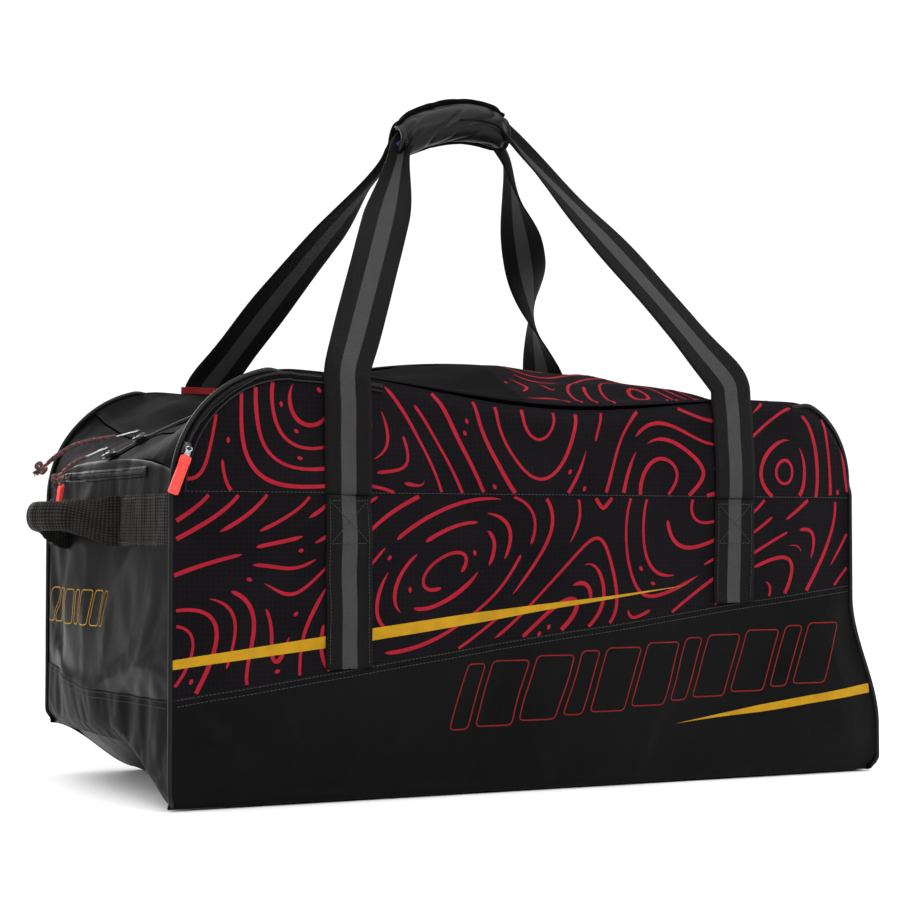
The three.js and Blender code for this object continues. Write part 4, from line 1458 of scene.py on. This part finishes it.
def strap_route(cloth, side, x, twist):
    """Centre line and sideways direction of one free leg, from the seam up into the grip."""
    inner = math.copysign(1, x)
    z = np.linspace(SEAM_Z, STRAP_FOLD_Z - 0.018, 9)
    foot, _ = cloth.on(np.stack([np.full(9, x), z], axis=1), STITCH_PROUD)
    foot = foot[:, 1]
    points = [(x, float(y), float(height)) for y, height in zip(foot, z)]
    neck_x, mouth_x = LEG_NECKS["left" if x < 0 else "right"]
    top = grip_height(mouth_x) - 0.002
    bend_y = side * STRAP_BEND_Y
    fold = np.array((mix(x, neck_x, 0.02), bend_y, STRAP_FOLD_Z + 0.006))
    neck = np.array((neck_x, side * 0.0200, top - 0.034))
    for share in (0, 0.14, 0.36, 0.60, 0.82, 1):
        points.append(mix(fold, neck, share) + np.array((0, side, 1.0)) * 0.005 * math.sin(math.pi * share))
    points += [
        (mouth_x, side * 0.0100, top - 0.009),
        (mouth_x - inner * 0.020, side * 0.0080, grip_height(mouth_x - inner * 0.020) - 0.001),
        (inner * 0.028, side * 0.0080, grip_height(inner * 0.028)),
        (inner * 0.001, side * 0.0080, grip_height(0.0)),
    ]
    line = curved(points, 0.005)
    tangents = unit(np.gradient(line, axis=0))
    along = np.linspace(0, 1, len(line))
    out = np.array((0.0, side, 0.0)) * np.ones((len(line), 1))
    lean = unit(np.array((0.0, side * 0.83, 0.56)))
    out = mix(out, lean, smooth(along, 0.20, 0.36)[:, None])
    across = unit(np.cross(tangents, out))
    normal = unit(np.cross(across, tangents))
    turn = twist * smooth(along, 0.42 if abs(twist) < 3 else 0.10, 0.88)
    turned = across * np.cos(turn)[:, None] + normal * np.sin(turn)[:, None]
    return line, turned, np.cross(turned, tangents), along


def add_free_straps(clothes, finishes):
    for side, name in SIDES:
        legs = []
        for end, x in STRAP_X.items():
            line, across, normal, along = strap_route(clothes[name], side, x, TWISTS[name, end])
            narrowing = NARROWING[end]
            half = WEBBING_WIDTH / 2 * (1 - narrowing * smooth(along, 0.64, 0.86))
            shares = np.linspace(-1, 1, ACROSS)
            points = ribbon_points(line, half, across, ACROSS)
            cup = 0.009 * smooth(along, 0.64, 0.86)[:, None] * (shares[None, :] ** 2)
            wave = 0.0012 * np.sin(along * 23 + 5 * x)[:, None] * shares[None, :]
            wave = wave * smooth(along, 0.3, 0.5)[:, None]
            points = points + normal[:, None] * (cup + wave)[:, :, None]
            lengths = length_along(line)
            uv = pairs(lengths + SEAM_Z, shares * WEBBING_WIDTH / 2)[:, :, ::-1]
            strap = grid_mesh(f"{name}_{end}_strap", points, finishes["striped"], uv)
            legs.append(thicken(strap, FREE_THICKNESS, BOTH_WAYS))
        for k, strap in enumerate(legs):
            own(strap, None, "striped_webbing", [name + "_handle_strap"] if k == 0 else [])
            hinge_y = side * HANDLE_HINGE_Y
            foot, free = (0, hinge_y, SEAM_Z - 0.002), (0, hinge_y, SEAM_Z + 0.028)
            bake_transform(strap)
            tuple(foot)
            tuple(free)


def grip_section(side, share):
    """Half of the wrap's section: (y, z) about the grip's centre for share 0 at the lower edge to 1."""
    if side < 0:
        angle = np.radians(mix(-78.0, 96.0, share))
        radius = 0.0255 + 0.0015 * np.sin(np.pi * share)
        return -radius * np.cos(angle), radius * np.sin(angle)
    angle = np.radians(mix(-84.0, 104.0, share))
    radius = 0.0262 + 0.0060 * smooth(share, 0.55, 1.0)
    return radius * np.cos(angle), radius * np.sin(angle)


def add_grip(finishes):
    """A padded wrap: a glossy front half and a plain rear half whose flap stands up behind it."""
    for side, name, finish in ((-1, "front", "grip"), (1, "rear", "black")):
        x = np.linspace(-GRIP_HALF_LENGTH, GRIP_HALF_LENGTH, 66)
        share = np.linspace(0, 1, 40)
        gx, gs = np.meshgrid(x, share, indexing="ij")
        y, z = grip_section(side, gs)
        end_round = 1 - 0.16 * smooth(np.abs(gx), 0.060, GRIP_HALF_LENGTH)
        place = np.stack([gx, y, z], axis=2)
        crease = folds(place * (0.7, 1.3, 1.3), 0.040, 61 + side)
        crease = crease * smooth(GRIP_HALF_LENGTH - np.abs(gx), 0.0, 0.02)
        puff = 0.0012 * ripple(place * (0.5, 1, 1), 0.06, 71) - 0.0017 * crease
        puff = puff * (1.0 if side < 0 else 0.5)
        channel = 0.0018 * np.exp(-(((np.abs(gx) - 0.071) / 0.0022) ** 2))
        size = (1 + (puff - channel) / GRIP_RADIUS) * end_round
        points = np.stack([gx, y * size, z * size + grip_height(gx) - GRIP_DROP], axis=2)
        pad = grid_mesh(name + "_grip_wrap", points, finishes[finish], flip=side > 0)
        thicken(pad, GRIP_THICKNESS)
        rounder(pad)
        slot = "coated_tarpaulin" if side < 0 else "black_polyester"
        own(pad, name + "_handle", slot, [name + "_grip_pad"])
        if side < 0:
            tree = tree_of([pad])
            rows = []
            for sign in (-1, 1):
                ring = points[int(32.5 + sign * 29.5), 2:-2]
                places, normals = [], []
                for point in ring:
                    place, normal, _, _ = tree.find_nearest(Vector(point))
                    places.append(place)
                    normals.append(normal)
                rows.append((np.array(places), np.array(normals)))
            sewing = stitches(
                "grip_stitches", rows, finishes["pale_thread"], pitch=0.0036, length=0.0027, radius=0.0004
            )
            own(sewing, "front_handle", "coated_tarpaulin")
    x = np.linspace(-0.0765, -0.0640, 6)
    line = np.stack([x, np.full(6, -0.003), grip_height(x) - 0.010], axis=1)
    lining = tube("grip_lining", line, 0.0070, finishes["blue"], 14)
    own(lining, "front_handle", "lining")


# Webbing on the ends
def add_end_webbing(clothes, finishes):
    half = WEBBING_WIDTH / 2 + 0.0005
    for side, name in ENDS:
        cloth = clothes[name + "_end"]
        for part, (start, stop) in END_WEBBING_RUNS.items():
            y = np.linspace(start, stop, 50)
            line = np.stack([y, np.full(50, END_WEBBING_Z)], axis=1)
            points = cloth.strip(line, half, STRAP_PROUD, ACROSS)
            gathers = 0.0007 * (1 + np.sin(y * 2 * np.pi / 0.0165 + 1.5 * np.sin(y * 60)))
            share = np.clip((y - start) / (stop - start), 0, 1)
            points[..., 0] += side * (gathers * np.sin(np.pi * share))[:, None]
            uv = pairs(y, np.linspace(-half, half, ACROSS))
            piece = grid_mesh(f"{name}_webbing_{part}", points, finishes["waffle"], uv, flip=side > 0)
            thicken(piece, END_THICKNESS, OUTWARD)
            own(piece, "bag", "plain_webbing", [f"{name}_end_webbing_{part}"])
            inner = stop if part == "front" else start
            sign = -1 if part == "front" else 1
            rows = []
            low, high = END_WEBBING_Z - half + 0.004, END_WEBBING_Z + half - 0.004
            for step in (0.006, 0.034):
                at = inner + sign * step
                rows.append(seam_row(cloth, [(at, low), (at, high)], END_STITCH_PROUD))
            for height in (low, high):
                run = [(start + 0.004, height), (stop - 0.004, height)]
                rows.append(seam_row(cloth, run, END_STITCH_PROUD))
            sewing = webbing_stitches(f"{name}_webbing_{part}_stitches", rows, finishes)
            own(sewing, "bag", "plain_webbing")
        add_end_loop(side, name, cloth, finishes)


def add_end_loop(side, name, cloth, finishes):
    """The free loop: flat webbing at its two roots, folded to half its width where it stands out."""
    share = np.linspace(0, 1, 72)
    angle = np.pi * (share - 0.5)
    reach = np.abs(np.cos(angle)) ** 1.1
    y = LOOP_MIDDLE_Y + LOOP_HALF_LENGTH * mix(2 * share - 1, np.sin(angle), 0.45)
    roots = cloth.on(np.stack([y, np.full(72, END_WEBBING_Z)], axis=1), 0.0034)[0]
    x = side * mix(np.abs(roots[:, 0]), LOOP_OUT_X, reach)
    folded = smooth(reach, 0.12, 0.80)
    z = END_WEBBING_Z + 0.0060 * folded - 0.004 * smooth(share, 0.5, 1.0)
    line = np.stack([x, y, z], axis=1)
    tangents = unit(np.gradient(line, axis=0))
    out = unit(np.cross(tangents, np.array((0.0, 0.0, 1.0))) * np.ones((len(line), 1)))
    out = out * np.sign(out[len(out) // 2, 0] * side)
    across = np.cross(tangents, out)
    across = across * np.sign(across[:, 2:3])
    shares = np.linspace(-1, 1, 19)
    flat_half = WEBBING_WIDTH / 2
    half = mix(flat_half, 0.0158, folded)
    # Folded webbing wraps round: its edges turn in behind its middle
    turn = folded[:, None] * LOOP_TURN * shares[None, :]
    height = mix(shares[None, :], np.sin(turn) / math.sin(min(1.55, LOOP_TURN)), folded[:, None])
    depth = folded[:, None] * (1 - np.cos(turn)) * 0.0085
    creases = 0.0012 * np.sin(angle * 19)[:, None] * folded[:, None] * np.cos(shares * 2)[None, :]
    points = line[:, None] + across[:, None] * (half[:, None] * height)[:, :, None]
    points = points - out[:, None] * (depth + creases)[:, :, None]
    lengths = length_along(line)
    uv = pairs(lengths, shares * flat_half)
    loop = grid_mesh(name + "_loop", points, finishes["waffle"], uv)
    thicken(loop, LOOP_THICKNESS, BOTH_WAYS)
    rounder(loop)
    own(loop, None, "plain_webbing", [name + "_end_handle"])
    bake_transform(loop)


# Piping up each corner and round each shoulder
def add_piping(finishes):
    for end, end_name in ENDS:
        for side, side_name in SIDES:
            low = float(lift(end * RIGHT_END, side * HALF_WIDTH)) + 0.006
            if end < 0:
                z = np.linspace(low, SEAM_Z, 60)
                x = np.full(60, LEFT_END)
                turn = np.linspace(np.pi, np.pi / 2, 40)[1:]
                round_x = LEFT_CREST_X + LEFT_SHOULDER * np.cos(turn)
                round_z = SEAM_Z + LEFT_SHOULDER * np.sin(turn)
            else:
                z = np.linspace(low, RIGHT_CREST_Z - RIGHT_SHOULDER_Z, 60)
                x = RIGHT_END + foot_spread(z)
                turn = np.linspace(0, np.pi / 2, 30)[1:]
                round_x = RIGHT_CREST_X + RIGHT_SHOULDER_X * np.cos(turn)
                round_z = RIGHT_CREST_Z - RIGHT_SHOULDER_Z + RIGHT_SHOULDER_Z * np.sin(turn)
            x, z = np.concatenate([x, round_x]), np.concatenate([z, round_z])
            inset = 0.0085 * (1 - smooth(z - low + 0.006, 0.0, 0.018))
            out_x = end * (0.0012 - inset)
            under = z - edge_height(np.minimum(x, RIGHT_END))
            rolled = 0.0050 * smooth(x, -0.46, -0.40) * smooth(under, -0.016, 0.0)
            y = side * (HALF_WIDTH + 0.0010 - inset - rolled)
            crest = LEFT_CREST_X if end < 0 else RIGHT_CREST_X
            sunk = 0.0075 * (1 - smooth(np.abs(x - crest), 0.0, 0.030))
            line = np.stack([x + out_x, y, z - sunk], axis=1)
            pipe = tube(f"{end_name}_{side_name}_piping_cord", line, PIPING_RADIUS, finishes["piping"], 12)
            own(pipe, "bag", "piping", [f"{end_name}_{side_name}_piping"])
    for end, end_name in ENDS:
        y = np.linspace(-HALF_WIDTH + 0.0075, HALF_WIDTH - 0.0075, 90)
        x = end * (RIGHT_END - 0.0073 + (RIGHT_FOOT_SPREAD if end > 0 else 0)) * np.ones(90)
        line = np.stack([x, y, lift(x, y) + 0.0056], axis=1)
        pipe = tube(end_name + "_foot_piping", line, PIPING_RADIUS, finishes["piping"], 12)
        own(pipe, "bag", "piping")


# Zippers: half width of a tape, and width and pitch of the teeth
TAPE_HALF = 0.0115
TAPE_INNER = 0.0006
TAPE_THICKNESS = 0.0007
MAIN_TEETH = (0.0036, 0.0017)
POCKET_TEETH = (0.0042, 0.0016)


def coil_teeth(name, centres, tangents, normals, width, pitch, material, height=0.0014):
    """A row of small rounded teeth across a line: each is a short bar with chamfered ends."""
    lengths = length_along(centres)
    at = np.arange(pitch / 2, lengths[-1], pitch)
    pick = lambda values: np.stack([np.interp(at, lengths, values[:, k]) for k in range(3)], axis=1)
    centre, tangent, normal = pick(centres), unit(pick(tangents)), unit(pick(normals))
    across = np.cross(normal, tangent)
    points, faces = [], []
    for c, t, n, a in zip(centre, tangent, normal, across):
        base = len(points)
        for end, grow in ((-1.0, 0.55), (-0.72, 1.0), (0.72, 1.0), (1.0, 0.55)):
            for i in range(6):
                turn = i * np.pi / 3
                rise = math.sin(turn) * height / 2 * grow + height / 2
                offset = t * math.cos(turn) * pitch * 0.36 * grow + n * rise
                points.append(c + a * end * width / 2 + offset)
        faces += ring_faces(base, 4, 6)
        faces.append(tuple(base + i for i in range(5, -1, -1)))
        faces.append(tuple(base + 18 + i for i in range(6)))
    return add_mesh(name, points, faces, material)


def arch_line(from_x, to_x, y, radius):
    """A line along the zipper's arch, its tangents and its outward normals."""
    count = max(6, int(abs(to_x - from_x) / 0.008))
    turn = np.linspace(math.asin((from_x - ARCH_X) / radius), math.asin((to_x - ARCH_X) / radius), count)
    x, z = ARCH_X + radius * np.sin(turn), ARCH_Z + radius * np.cos(turn)
    points = np.stack([x, np.full(count, y), z], axis=1)
    tangents = np.stack([np.cos(turn), 0 * turn, -np.sin(turn)], axis=1)
    normals = np.stack([np.sin(turn), 0 * turn, np.cos(turn)], axis=1)
    return points, tangents, normals


def add_main_zipper(finishes):
    spans = {
        "left": (LEFT_END + 0.004, FLAP_LEFT, ("bag", "bag"), "left_zip_end"),
        "middle": (FLAP_LEFT, FLAP_RIGHT, ("front_flap", "rear_flap"), None),
        "right": (FLAP_RIGHT, RIGHT_END - 0.004, ("bag", "bag"), "right_zip_end"),
    }
    for span, (from_x, to_x, bodies, node) in spans.items():
        for side, name, body in ((-1, "front", bodies[0]), (1, "rear", bodies[1])):
            tape_points = []
            for share in np.linspace(0, 1, 6):
                y = side * mix(TAPE_INNER, TAPE_HALF, share)
                tape_points.append(arch_line(from_x, to_x, y, ARCH_R + 0.0022 - 0.0011 * share)[0])
            grid = np.stack(tape_points, axis=1)
            tape = grid_mesh(f"{name}_tape_{span}", grid, finishes["black"], flip=side > 0)
            thicken(tape, TAPE_THICKNESS)
            nodes = [node] if node and side < 0 else ([f"{name}_zip_chain"] if node is None else [])
            own(tape, body, "zipper_coil", nodes)
            points, tangents, normals = arch_line(from_x, to_x, side * 0.00205, ARCH_R + 0.0021)
            path = (points, tangents, normals)
            teeth = coil_teeth(f"{name}_coil_{span}", *path, *MAIN_TEETH, finishes["coil"], 0.0017)
            own(teeth, body, "zipper_coil")


def add_pocket_coil(name, cloth, line, proud, height, finishes):
    centre, normals = cloth.on(line, proud)
    tangents = unit(np.gradient(centre, axis=0))
    teeth = coil_teeth(name, centre, tangents, normals, *POCKET_TEETH, finishes["coil"], height)
    own(teeth, "bag", "zipper_coil")


def add_pocket_zips(clothes, finishes):
    # Front pocket: a band round the left shoulder
    cloth = clothes["front"]
    turn = np.linspace(np.pi, np.pi / 2, 60)
    inset = POCKET_BAND / 2 + 0.0006
    radius = LEFT_SHOULDER - inset
    x, z = LEFT_CREST_X + radius * np.cos(turn), SEAM_Z + 0.0012 + radius * np.sin(turn)
    round_part = np.stack([x, z], axis=1)
    x = np.linspace(LEFT_CREST_X, POCKET_END_X, 30)[1:]
    line = np.concatenate([round_part, np.stack([x, edge_height(x) - inset], axis=1)])
    line = resampled(line, 0.004)
    band = cloth.strip(line, POCKET_BAND / 2, 0.0008, 9)
    shares = np.linspace(-1, 1, 9)
    hump = 0.0018 * np.exp(-(((np.abs(shares) - 0.62) / 0.22) ** 2))
    band = band - np.array((0, 1, 0)) * hump[None, :, None]
    tape = grid_mesh("front_pocket_band", band, finishes["black"], flip=False)
    rounder(thicken(tape, 0.0010, 1.0))
    own(tape, "bag", "zipper_coil", ["front_pocket_zip"])
    add_pocket_coil("front_pocket_coil", cloth, line, 0.0018, 0.0012, finishes)
    edges = []
    for k in (0, -1):
        edges.append(tube("band_edge", band[:, k] - np.array((0, 0.0010, 0)), 0.0011, finishes["piping"], 8))
    own(joined("front_pocket_band_edges", edges), "bag", "piping")
    # End pocket: straight along the top of the left end
    cloth = clothes["left_end"]
    y = np.linspace(-END_POCKET_HALF, END_POCKET_HALF, 80)
    line = np.stack([y, np.full(80, END_POCKET_Z)], axis=1)
    tape = grid_mesh("end_pocket_tape", cloth.strip(line, 0.0062, 0.0006, 5), finishes["lower"], flip=False)
    thicken(tape, 0.0005, 0.0)
    own(tape, "bag", "zipper_coil", ["end_pocket_zip"])
    add_pocket_coil("end_pocket_coil", cloth, line, 0.0014, 0.0014, finishes)


# Sliders, tabs and pulls, each made lying flat with its pivot over the origin, then put in place
PIVOT_HEIGHT = 0.0105


def place_matrix(origin, back, up):
    """back is the way from the tab to the slider's nose, up is away from the cloth."""
    back, up = Vector(back).normalized(), Vector(up).normalized()
    across = up.cross(back)
    return Matrix.Translation(origin) @ Matrix((back, across, up)).transposed().to_4x4()


def moved(matrix, x, y, z):
    return matrix @ Matrix.Translation((x, y, z))


def slider_body(name, matrix, length, width, material):
    parts = []
    plates = ((0.0011, 0.0016, 1.0), (0.0043, 0.0014, 0.94))
    for z, thick, share in plates:
        place = moved(matrix, 0, 0, z)
        parts.append(rounded_box(name, (length * share, width * share, thick), material, 0.0006, place))
    for sign in (-1, 1):
        place = moved(matrix, -length * 0.1, sign * width * 0.46, 0.0027)
        parts.append(rounded_box(name, (length * 0.66, 0.0010, 0.0040), material, 0.0004, place))
    turn = np.linspace(np.pi * 0.98, 0.02, 18)
    bridge = np.stack([length * 0.27 * np.cos(turn), 0 * turn, 0.0050 + 0.0066 * np.sin(turn)], axis=1)
    line = [matrix @ Vector(p) for p in bridge]
    parts.append(tube(name, np.array(line), 0.00115, material, 8))
    nose = moved(matrix, length * 0.24, 0, 0.0053)
    parts.append(rounded_box(name, (length * 0.34, width * 0.34, 0.0014), material, 0.0005, nose))
    return joined(name, parts)


def wire_tab(name, matrix, length, material):
    """A bent wire loop, wide at the slider and narrow at its tip, with a crimped bar."""
    outline = [(0.0024, 0.0), (0.0010, 0.0036), (-0.004, 0.0042), (-0.013, 0.0034)]
    outline += [(-length + 0.004, 0.0030), (-length, 0.0)]
    points = outline + [(x, -y) for x, y in outline[-2:0:-1]] + [outline[0]]
    line = curved([(x, y, 0.0) for x, y in points], 0.0014)
    line = np.array([matrix @ Vector(p) for p in line])
    loop = tube(name, line, 0.00095, material, 8, False)
    bar = rounded_box(name, (0.0075, 0.0070, 0.0022), material, 0.0009, moved(matrix, -0.0062, 0, 0))
    return joined(name, [loop, bar])


def small_tab(name, matrix, material):
    turns = np.linspace(0, 2 * np.pi, 25)
    outline = [(0.0022 * math.cos(turn) - 0.0002, 0.0034 * math.sin(turn), 0) for turn in turns]
    ring = tube(name, np.array([matrix @ Vector(p) for p in outline]), 0.0008, material, 8, False)
    neck = rounded_box(name, (0.0062, 0.0062, 0.0017), material, 0.0007, moved(matrix, -0.0052, 0, 0))
    return joined(name, [ring, neck])


def rubber_pull(name, matrix, material):
    """A moulded grip with a collar, a raised rim and a sunk panel."""
    length, width, thick = 0.044, 0.011, 0.0045
    middle = -0.0083 - length / 2
    shape = bmesh.new()
    bmesh.ops.create_cube(shape, size=1)
    bmesh.ops.scale(shape, vec=(length, width, thick), verts=shape.verts)
    upright = [e for e in shape.edges if abs((e.verts[0].co - e.verts[1].co).z) > thick / 2]
    bmesh.ops.bevel(shape, geom=upright, offset=0.0022, segments=4, profile=0.5, affect="EDGES")
    for sign in (-1, 1):
        face = max(shape.faces, key=lambda f: f.calc_center_median().z * sign)
        for thickness, depth in ((0.0014, 0.0), (0.0006, -0.0007)):
            bmesh.ops.inset_region(shape, faces=[face], thickness=thickness, depth=depth)
    bmesh.ops.translate(shape, vec=(middle, 0, 0), verts=shape.verts)
    shape.transform(matrix)
    made = show_shape(name, shape, material)
    bevel = made.modifiers.new("edges", "BEVEL")
    bevel.width = 0.0006
    bevel.segments = 3
    bevel.limit_method = "ANGLE"
    bevel.angle_limit = 0.6
    collar_size = (0.0085, width + 0.0010, thick + 0.0009)
    collar = rounded_box(name, collar_size, material, 0.0010, moved(matrix, -0.0136, 0, 0))
    with bpy.context.temp_override(object=made, active_object=made):
        bpy.ops.object.modifier_apply(modifier=bevel.name)
    made.data.polygons.foreach_set("use_smooth", [True] * len(made.data.polygons))
    return joined(name, [made, collar])


def add_sliders(finishes):
    for name, angle, tilt in (("upper", -27.3, 12), ("lower", -29.9, 6)):
        turn = math.radians(angle)
        radius = ARCH_R + 0.0037
        origin = Vector((ARCH_X + radius * math.sin(turn), 0, ARCH_Z + radius * math.cos(turn)))
        matrix = Matrix.Translation(origin) @ Matrix.Rotation(turn, 4, "Y")
        body = slider_body(f"main_slider_{name}_body", matrix, 0.016, 0.011, finishes["dark_metal"])
        own(body, name + "_slider", "slider_metal", ["main_slider_" + name])
        tilted = moved(matrix, 0, 0, PIVOT_HEIGHT) @ Matrix.Rotation(math.radians(tilt), 4, "Y")
        tab = wire_tab(f"main_tab_{name}_wire", tilted, 0.026, finishes["silver"])
        own(tab, name + "_tab", "silver_metal", ["main_tab_" + name])
    band = math.radians(159)
    radius = LEFT_SHOULDER - POCKET_BAND / 2
    on_band = (LEFT_CREST_X + radius * math.cos(band), -HALF_WIDTH - 0.0005, SEAM_Z + radius * math.sin(band))
    up_band = (math.sin(band), 0, -math.cos(band))
    on_end = (LEFT_END - 0.0054, 0.120, END_POCKET_Z)
    # origin, way back, way up, length, width, tilt and the body's name
    places = {
        "front_pocket": (on_band, up_band, (0, -1, 0), 0.014, 0.010, 0, "pocket"),
        "end_pocket": (on_end, (0, 0, 1), (-1, 0, 0), 0.010, 0.014, 8, "end"),
    }
    for name, (origin, back, up, length, width, tilt, body) in places.items():
        matrix = place_matrix(origin, back, up)
        slider = slider_body(name + "_slider_body", matrix, length, width, finishes["dark_metal"])
        own(slider, body + "_slider", "slider_metal", [name + "_slider"])
        hung = moved(matrix, 0, 0, PIVOT_HEIGHT) @ Matrix.Rotation(math.radians(tilt), 4, "Y")
        tab = small_tab(name + "_ring", hung, finishes["silver"])
        own(tab, body + "_pull", "silver_metal", [name + "_tab"])
        pull = rubber_pull(name + "_grip", hung, finishes["red_rubber"])
        own(pull, body + "_pull", "red_rubber", [name + "_pull"])


def add_label(finishes):
    z = float(edge_height(np.array(LABEL_X))) + 0.0055
    across = np.linspace(LABEL_X - LABEL_HALF, LABEL_X + LABEL_HALF, 26)
    x, share = np.meshgrid(across, np.linspace(0, 1, 9), indexing="ij")
    y = HALF_WIDTH - 0.008 + 0.0012 * np.sin((x - LABEL_X) * 130) * share
    points = np.stack([x, y, z - 0.0045 + 0.009 * share], axis=2)
    label = grid_mesh("rear_label", points, finishes["label"], points[:, :, [0, 2]])
    thicken(label, 0.0007, 0.0)
    own(label, "bag", "red_label", ["rear_label_tab"])


def add_inside(finishes):
    """Linings behind the two pockets, which are not seen from outside."""
    y, z = np.meshgrid(np.linspace(-0.20, 0.20, 30), np.linspace(0.08, 0.365, 24), indexing="ij")
    place = np.stack([0 * y, y, z], axis=2)
    points = np.stack([-0.392 + 0.004 * ripple(place, 0.12, 81), y, z], axis=2)
    wall = grid_mesh("end_pocket_lining", points, finishes["lining"], points[:, :, [1, 2]])
    own(thicken(wall, 0.001, 0.0), "bag", "lining", ["end_pocket_divider"])
    x, z = np.meshgrid(np.linspace(-0.385, -0.155, 24), np.linspace(0.336, 0.434, 12), indexing="ij")
    place = np.stack([x, 0 * x, z], axis=2)
    points = np.stack([x, -0.205 + 0.002 * ripple(place, 0.08, 83), z], axis=2)
    wall = grid_mesh("front_pocket_lining", points, finishes["lining"], points[:, :, [0, 2]])
    own(thicken(wall, 0.001, 0.0), "bag", "lining", ["front_pocket_liner"])


add_camera()
finishes = make_finishes()
add_cords(finishes)
panels = add_faces(finishes) | add_ends(finishes)
tops = add_top(finishes)
add_base(finishes)
clothes = {
    "front": face_cloth([panels["front_" + part] for part in ("lower", "middle", "upper")], -1),
    "rear": face_cloth([panels["rear_" + part] for part in ("lower", "middle", "upper")], 1),
    "left_end": end_cloth([panels["left_end_lower"], panels["left_end_upper"]], -1),
    "right_end": end_cloth([panels["right_end_lower"], panels["right_end_upper"]], 1),
    "top": top_cloth(list(tops.values())),
}
add_prints(clothes, finishes)
add_stripes(clothes, finishes)
add_marks(clothes, finishes)
add_seams(clothes, finishes)
add_strap_bases(clothes, finishes)
add_free_straps(clothes, finishes)
add_grip(finishes)
add_end_webbing(clothes, finishes)
add_piping(finishes)
add_main_zipper(finishes)
add_pocket_zips(clothes, finishes)
add_sliders(finishes)
add_label(finishes)
add_inside(finishes)
follow_flap(tops["front_top"], -1)
follow_flap(tops["rear_top"], 1)
add_studio()

[[list(corner) for corner in bounds] for bounds in (cad_bounds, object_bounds())]
